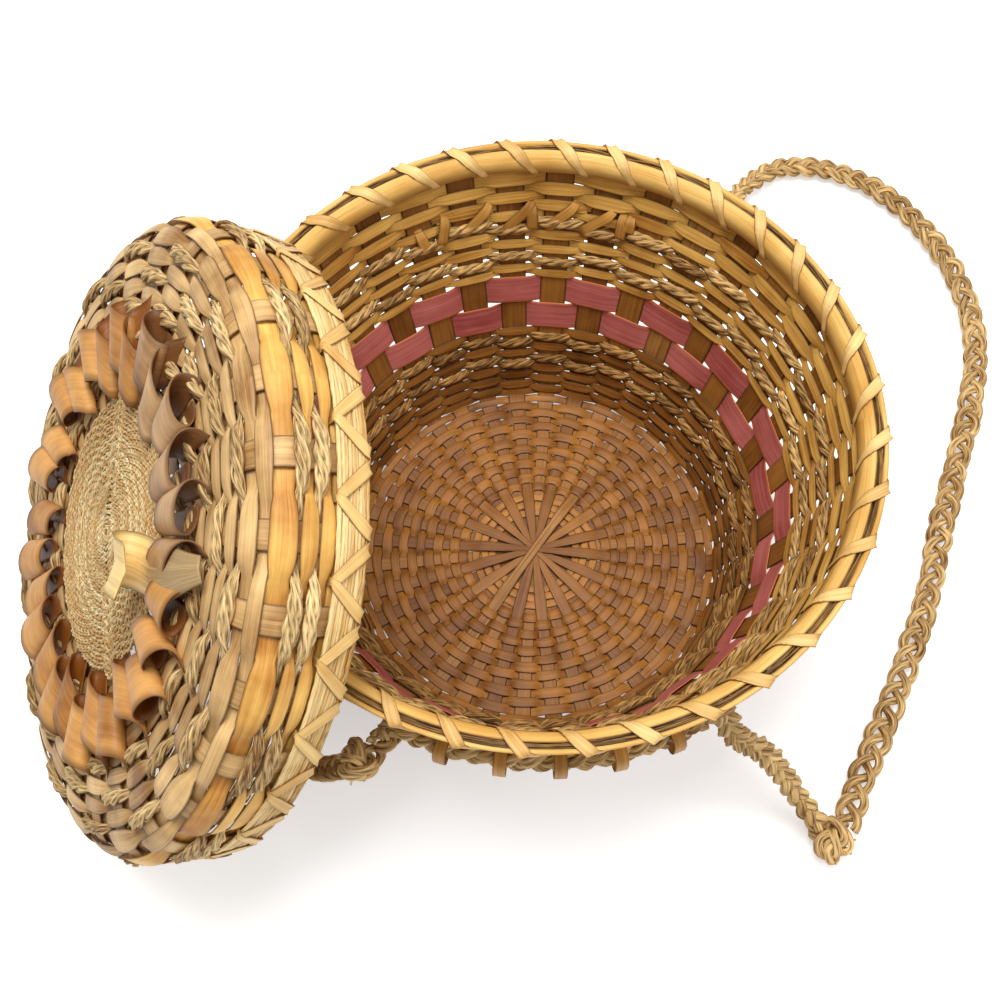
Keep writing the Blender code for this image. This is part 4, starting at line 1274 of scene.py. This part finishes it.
# %% Place of the lid
LID_CENTRE = np.array((-138.8, -41.0, 110.0)) * MM
lid_joint = frame["record"]["behaviour"]["joints"][0]
crown = unit(np.array(lid_joint["axis"]))
lid_across = unit(np.cross(crown, UP))
up_slope = np.cross(lid_across, crown)
lid_place = np.eye(4)
lid_place[:3, :3] = np.stack([up_slope, lid_across, crown], -1)
lid_place[:3, 3] = LID_CENTRE
print(f"the lid's crown looks {math.degrees(math.asin(crown[2])):.0f} degrees up")

# %% Outline of the lid
# radius and height: up the side, round the shoulder and in over the crown
LID_LINE = np.array([
    (126.8, 0), (128.9, 15), (130.8, 29.5), (127.5, 37.5), (119, 42.8), (104, 44.4),
    (80, 44.6), (50, 44.6), (1, 44.6),
]) * MM
LID_MOUTH = LID_LINE[0, 0]
LID_WIDEST, WIDEST_LEVEL = LID_LINE[2]
CROWN_LEVEL = LID_LINE[-1, 1]
lid_fine = smooth_line(LID_LINE, 0.5 * MM)
lid_slope = unit(np.gradient(lid_fine, axis=0))
lid_far = travelled(lid_fine)
print(f"lid outline: {lid_far[-1] / MM:.0f} mm from the mouth to the middle of the crown")


def lid_spot(far):
    """Radius, height and outward direction on the lid's outline, by distance from its mouth."""
    radius, height = between(far, lid_far, lid_fine).T
    run, rise = between(far, lid_far, lid_slope).T
    return radius, height, rise, -run


# %% Ribs
RIB_COUNT = 28
RIB_STEP = TURN / RIB_COUNT
RIB = 0.7 * MM
RIB_STACK = 0.8 * MM
# radius, and the rib's width there
RIB_WIDTHS = np.array([(0, 2.5), (20, 3), (60, 7), (104, 9), (131, 11.5)]) * MM


def up_and_over(angle, out, up):
    """A half line from its start to the middle, then backwards down the far side."""
    return np.concatenate([polar(angle, out, up), polar(angle + math.pi, out, up)[::-1]])


ribs = Piece("lid_ribs_woven")
radius, level, out, up = lid_spot(np.linspace(2 * MM, lid_far[-1], 90))
width = np.interp(radius, *RIB_WIDTHS.T)
for index in range(RIB_COUNT // 2):
    # each rib crosses the middle a little below the one before
    depth = RIB_STACK * index / (RIB_COUNT // 2)
    height = level - depth * np.clip(1 - radius / (40 * MM), 0, 1)
    angle = index * RIB_STEP
    tone = 0.45 + chance.uniform(-0.2, 0.2)
    lay_splint(
        ribs, up_and_over(angle, radius, height), up_and_over(angle, out, up),
        np.concatenate([width, width[::-1]]), RIB, tone, cup=0.0,
    )
ribs.finish(SPLINTS["dusty"], "lid", "brown_splint", ["lid_ribs"], lid_place)

# %% [markdown]
# ## Weaving the lid
# Gold splints and fat twists of sweetgrass take turns. Each stretch over a rib spreads far
# wider than the gap between two rows, because its neighbours are behind the ribs there, and
# it narrows to a point where it dives. That is why the lid looks scaled. The crown has aged
# to a dusty grey tan, and the side has kept its gold.

# %% Kinds of lid row
RIB_CUTS = 16
LID_SPLINT = 0.6 * MM
LID_REACH = 1.7 * MM
LID_GRASS_REACH = 2.3 * MM
LID_GRASS_PITCH = 26 * MM
lid_angles = full_round(RIB_COUNT * RIB_CUTS)


def lid_line(far, offset):
    """A row's line round the lid, off the middle of the ribs, and the way its face looks."""
    radius, height, out, up = lid_spot(far)
    line = polar(lid_angles, radius + offset * out, height + offset * up)
    return line, polar(lid_angles, out, up)


def weave_lid_grass(piece, middle, pitch, side, least):
    """A fat three-ply twist of grass."""
    line, facing = lid_line(middle, side * LID_GRASS_REACH)
    radius = pitch * stretch_width(lid_angles, RIB_COUNT, least, 0.17, side)
    tone = stretch_values(lid_angles, RIB_COUNT, 0.28)
    lay_twist(
        piece, line, facing, radius, LID_GRASS_PITCH, tone, closed=True, flat=0.62, plies=3
    )


def weave_lid_splint(piece, middle, pitch, side, least, spread):
    """A splint that spreads over each rib."""
    line, facing = lid_line(middle, side * LID_REACH)
    width = pitch * stretch_width(lid_angles, RIB_COUNT, least, spread, side)
    tone = stretch_values(lid_angles, RIB_COUNT, 0.3)
    lay_splint(piece, line, facing, width, LID_SPLINT, tone, closed=True, cup=0.05)


# %% Lid rows, from the mouth to the crown
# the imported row, where its band starts and ends in millimetres from the mouth, and its rows
LID_BANDS = (
    ("lid_wall_row_1", 14.6, 22.4, "sg"), ("lid_wall_row_2", 22.4, 30.0, "sg"),
    ("lid_shoulder_row_1", 30.0, 37.5, "w"), ("lid_shoulder_row_2", 37.5, 48.0, "ws"),
    ("lid_shoulder_row_3", 48.0, 64.0, "gssg"), (None, 64.0, 104.0, "ssgssgssgs"),
)
LID_SPREADS = {"s": 0.8, "w": 0.3}
GOLD_END = 38 * MM

number = 0
for node, low, high, kinds in LID_BANDS:
    pitch = (high - low) / len(kinds) * MM
    name = node or "lid_crown"
    rows = {
        "gold": Piece(name + "_gold_splints"), "dusty": Piece(name + "_dusty_splints"),
        "grass": Piece(name + "_grass"),
    }
    # the rows of the crown are packed closer than the others
    least_splint, least_grass = (0.98, 0.25) if node else (1.12, 0.29)
    for place, kind in enumerate(kinds):
        side = weave_side(lid_angles, RIB_COUNT, 0, number)
        middle = low * MM + (place + 0.5) * pitch
        uneven = middle + wobble(lid_angles, 0.04 * pitch)
        if kind == "g":
            weave_lid_grass(rows["grass"], uneven, pitch, side, least_grass)
        else:
            piece = rows["gold" if middle < GOLD_END else "dusty"]
            weave_lid_splint(piece, uneven, pitch, side, least_splint, LID_SPREADS[kind])
        number += 1
    for kind, piece in rows.items():
        if not piece.count:
            continue
        finish = GRASSES["lid"] if kind == "grass" else SPLINTS[kind]
        slot = "gold_splint" if "wall" in name and kind != "grass" else "sweetgrass"
        piece.finish(finish, "lid", slot, [node] if node else [], lid_place)
print("lid rows:", number)

# %% [markdown]
# ## Lid hoops
# The lid's edge has an inner hoop and, outside, a band of straws laid side by side. Two
# lashings wind opposite ways round them and draw a zigzag.

# %% Hoop and straws
LID_HOOP_HEIGHT = 13 * MM
# the hoop's inner and outer face, and the outer face of the straws, from the ribs' middle
LID_HOOP = (-3.35 * MM, -0.75 * MM)
STRAWS_OUTSIDE = 3.4 * MM
STRAWS = 9
STRAW_RADIUS = 0.95 * MM
STRAW_OFFSET = 2.5 * MM


def lid_radius(height):
    """The lid's side leans out evenly from its mouth to its widest ring."""
    return LID_MOUTH + height / WIDEST_LEVEL * (LID_WIDEST - LID_MOUTH)


hoop = Piece("lid_hoop_inside")
lay_hoop(
    hoop, lid_radius, 0.0, LID_HOOP_HEIGHT, *LID_HOOP, bevel=0.6 * MM, unevenness=0.12 * MM
)
hoop.finish(SPLINTS["hoop"], "lid", "pale_splint", ["lid_inner_hoop"], lid_place)
band = Piece("lid_hoop_straws")
for straw in range(STRAWS):
    height = (straw + 0.5) / STRAWS * LID_HOOP_HEIGHT + wobble(hoop_angles, 0.3 * MM)
    offset = STRAW_OFFSET + wobble(hoop_angles, 0.15 * MM)
    line = polar(hoop_angles, lid_radius(height) + offset, height)
    lay_ply(
        band, line, polar(hoop_angles, 1.0, 0.0), STRAW_RADIUS, chance.uniform(0.3, 0.8),
        closed=True, ridges=3, sides=8,
    )
band.finish(SPLINTS["straw"], "lid", "pale_splint", ["lid_outer_hoop"], lid_place)

# %% Zigzag lashing
LID_LASHING = 0.45 * MM
# the way round, the width, and how much farther out the second splint lies than the first
ZIGZAG = ((1, 5.2 * MM, 0.0), (-1, 5.0 * MM, 0.25 * MM))

lid_outline = hoop_outline(LID_HOOP_HEIGHT, 0.0, LID_HOOP[0], STRAWS_OUTSIDE, away=0.4 * MM)
zigzag = Piece("lid_lashing_splints")
for way, width, over in ZIGZAG:
    starts = RIB_STEP / 2 + way * np.arange(RIB_COUNT) * RIB_STEP
    outline = lid_outline.copy()
    outline[:, 0] += over * np.sign(outline[:, 0])
    lay_lashing(zigzag, outline, lid_radius, starts, way * RIB_STEP, width, LID_LASHING)
zigzag.finish(SPLINTS["lashing"], "lid", "gold_splint", ["lid_lashing"], lid_place)

# %% [markdown]
# ## Middle of the crown
# The flat middle is twined from fine sweetgrass, in rows 1.8 mm wide. Each row is a two-ply
# twist that rises a little over each of 72 fine spokes. Along two lines the rows kink
# outwards, where one strand changed places with the next, and draw a spine of chevrons. The
# disc bulges slightly.

# %% Twined disc
DISC_RADIUS = 57 * MM
DISC_PITCH = 1.8 * MM
DISC_CUT = 1.1 * MM
DISC_SPOKES = 72
DISC_RISE = 0.35 * MM
DISC_BULGE = 1.2 * MM
DISC_EDGE_LEVEL = CROWN_LEVEL + 2.3 * MM
DISC_PLY = 0.5 * MM
DISC_TWIST = 5.5 * MM
SPINES = (math.radians(60.6), math.radians(-103.3))
SPINE_HALF = 6 * MM
SPINE_KINK = 5 * MM
SPINE_DIP = 0.5 * MM

disc = Piece("lid_disc_twined")
for ring in range(int(DISC_RADIUS / DISC_PITCH) - 1):
    radius = (ring + 1.5) * DISC_PITCH
    angles = full_round(max(48, int(TURN * radius / DISC_CUT)))
    rise = DISC_RISE * np.cos(DISC_SPOKES / 2 * angles + ring * math.pi)
    # 1 on a spine and 0 half its width away, and none near the middle of the disc
    kink = 0
    for spine in SPINES:
        away = np.abs((angles - spine + math.pi) % TURN - math.pi) * radius
        kink = kink + np.clip(1 - away / SPINE_HALF, 0, 1)
    kink = kink * np.clip((radius - 6 * MM) / (12 * MM), 0, 1)
    level = DISC_EDGE_LEVEL + DISC_BULGE * (1 - (radius / DISC_RADIUS) ** 2)
    line = polar(angles, radius + SPINE_KINK * kink, level + rise - SPINE_DIP * kink ** 3)
    lay_twist(
        disc, line, UP, DISC_PLY, DISC_TWIST, 0.5 + chance.uniform(-0.25, 0.25), closed=True,
        flat=0.9, sides=9,
    )
disc.finish(GRASSES["disc"], "lid", "sweetgrass", ["lid_centre_disc"], lid_place)

# %% [markdown]
# ## Ring of curls
# A wide thin splint goes round the crown and is rolled into a curl between each two ribs.
# Each curl is a cone that lies along the radius, narrow towards the disc and open towards the
# edge. The winding cuts both its ends on a slant: the strip starts low with its tip far out,
# and steps inwards as it goes over the top. Every second curl slants more and ends in a
# point. The outside is golden or dusty, and the inside is painted darkest: a warm orange
# brown deepened with painted shade.

# %% The shape of a curl
CURL = 0.7 * MM
CURL_WIDTH = 23.5 * MM
CURL_TIP = 99 * MM
CURL_GROUND = CROWN_LEVEL + 0.8 * MM
CURL_TURNS = 26
CURL_STATIONS = 7
# distance from the crown's middle, and the curl's half width and height there
CURL_CONE = np.array([(56, 5.2, 6.8), (62, 5.8, 7.4), (99, 8.9, 10.5)]) * MM
# the strip is wound from low at one side almost all the way round, steps inwards on the first
# part of its way, and tightens on the last
WIND_START = -62
WIND_SWEEP = 345
SLANT_UNTIL = 0.6
TIGHT_FROM = 0.72
TIGHTENING = 0.3
curl_share = np.linspace(0, 1, CURL_TURNS)
curl_around = np.radians(WIND_START + WIND_SWEEP * curl_share)
curl_tight = 1 - TIGHTENING * np.clip(curl_share - TIGHT_FROM, 0, 1) / (1 - TIGHT_FROM)


def lay_curl(piece, middle, slant, size, tone):
    """One conical roll of the strip, which steps inwards by the slant over its crest."""
    outer_edge = CURL_TIP - slant * np.clip(curl_share / SLANT_UNTIL, 0, 1) ** 0.8
    inner_edge = outer_edge - CURL_WIDTH
    rows = []
    for station in range(CURL_STATIONS):
        share = station / (CURL_STATIONS - 1)
        radius = inner_edge + share * (outer_edge - inner_edge)
        reach, crest = between(radius, CURL_CONE[:, 0], CURL_CONE[:, 1:]).T * size
        shift = reach * curl_tight * np.cos(curl_around)
        rise = crest / 2 * (1 + curl_tight * np.sin(curl_around))
        rows.append(polar(middle + shift / radius, radius, CURL_GROUND + rise))
    sheet = np.stack(rows, 1)
    outward = unit(np.cross(np.gradient(sheet, axis=0), np.gradient(sheet, axis=1)))
    skin = CURL / 2 * outward
    # a section runs along the outside and back along the inside, which takes the darkest tone:
    # its warmer orange brown and painted shade in the hollow of the roll
    sections = np.concatenate([sheet + skin, (sheet - skin)[:, ::-1]], 1)
    tones_with_inner_shade = np.repeat([tone, 0.0], CURL_STATIONS)
    stations = np.linspace(0, CURL_WIDTH, CURL_STATIONS)
    side = np.concatenate([stations, stations[::-1], [0]])
    # both edges of the strip darken: dirt, and painted shade
    edge = np.concatenate([[0.6], np.zeros(CURL_STATIONS - 2), [0.6]] * 2)
    far = travelled(sheet[:, 2]) + chance.uniform(0, 5)
    piece.sweep(sections, far, side + chance.uniform(0, 1), tones_with_inner_shade, edge)


# %% Laying the curls
CURL_COUNT = 28
SLANTS = (9 * MM, 19 * MM)
CURL_SIZE = 1.08
# the curls that are uppermost, as the lid leans, are larger and dusty
UPPER_GROWTH = 0.08
UPPER_ANGLE = 0.3
DUSTY_ANGLE = 0.05
DUSTY_REACH = 0.78

curls = {"curl": Piece("lid_curls"), "curl_dusty": Piece("lid_curls_dusty")}
for index in range(CURL_COUNT):
    middle = (index + 0.5) * TURN / CURL_COUNT + chance.uniform(-0.03, 0.03)
    slant = SLANTS[index % 2] + chance.uniform(-2, 2) * MM
    uppermost = max(0.0, math.cos(middle - UPPER_ANGLE))
    size = CURL_SIZE + UPPER_GROWTH * uppermost + chance.uniform(-0.05, 0.05)
    finish = "curl_dusty" if math.cos(middle - DUSTY_ANGLE) > DUSTY_REACH else "curl"
    lay_curl(curls[finish], middle, slant, size, chance.uniform(0.35, 0.75))
for finish, piece in curls.items():
    piece.finish(SPLINTS[finish], "lid", "tan_splint", ["lid_curl_ring"], lid_place)

# %% [markdown]
# ## Sprung curl
# One end of the curl splint has sprung loose. It is paler, 22 mm wide and cupped. It lies on
# the curls with its inside up, and folds back over itself in a rounded hook.

# %% Loose end
LOOSE_ANGLE = -3 * TURN / CURL_COUNT
LOOSE_WIDTHS = (10 * MM, 22 * MM)
LOOSE_CUP = 0.13
# distance from the crown's middle, and height: inwards over the curls, then back in a hook
LOOSE_LINE = np.array([
    (104, 51.0), (96, 54.0), (84, 55.2), (66, 54.0), (54, 54.4), (49.5, 57.2), (51, 61.2),
    (57, 63.2), (68, 63.6),
]) * MM
hook = smooth_line(LOOSE_LINE, 1.5 * MM)
share = np.linspace(0, 1, len(hook))
turn = LOOSE_ANGLE + np.interp(share, [0, 0.5], [0.1, 0])
run, rise = np.gradient(hook, axis=0).T
width = np.interp(share, [0, 0.3], LOOSE_WIDTHS)
# the splint is painted dark before the fold and pale past it, where its pale face turns to
# the light and carries a painted highlight
tone = np.interp(share, [0.5, 0.62], [0.1, 0.85])
loose_end = Piece("lid_loose_splint")
lay_splint(
    loose_end, polar(turn, *hook.T), unit(polar(turn, rise, -run)), width, CURL, tone,
    cup=LOOSE_CUP,
)
loose_end.finish(SPLINTS["loose"], "lid", "pale_splint", ["lid_loose_curl"], lid_place)
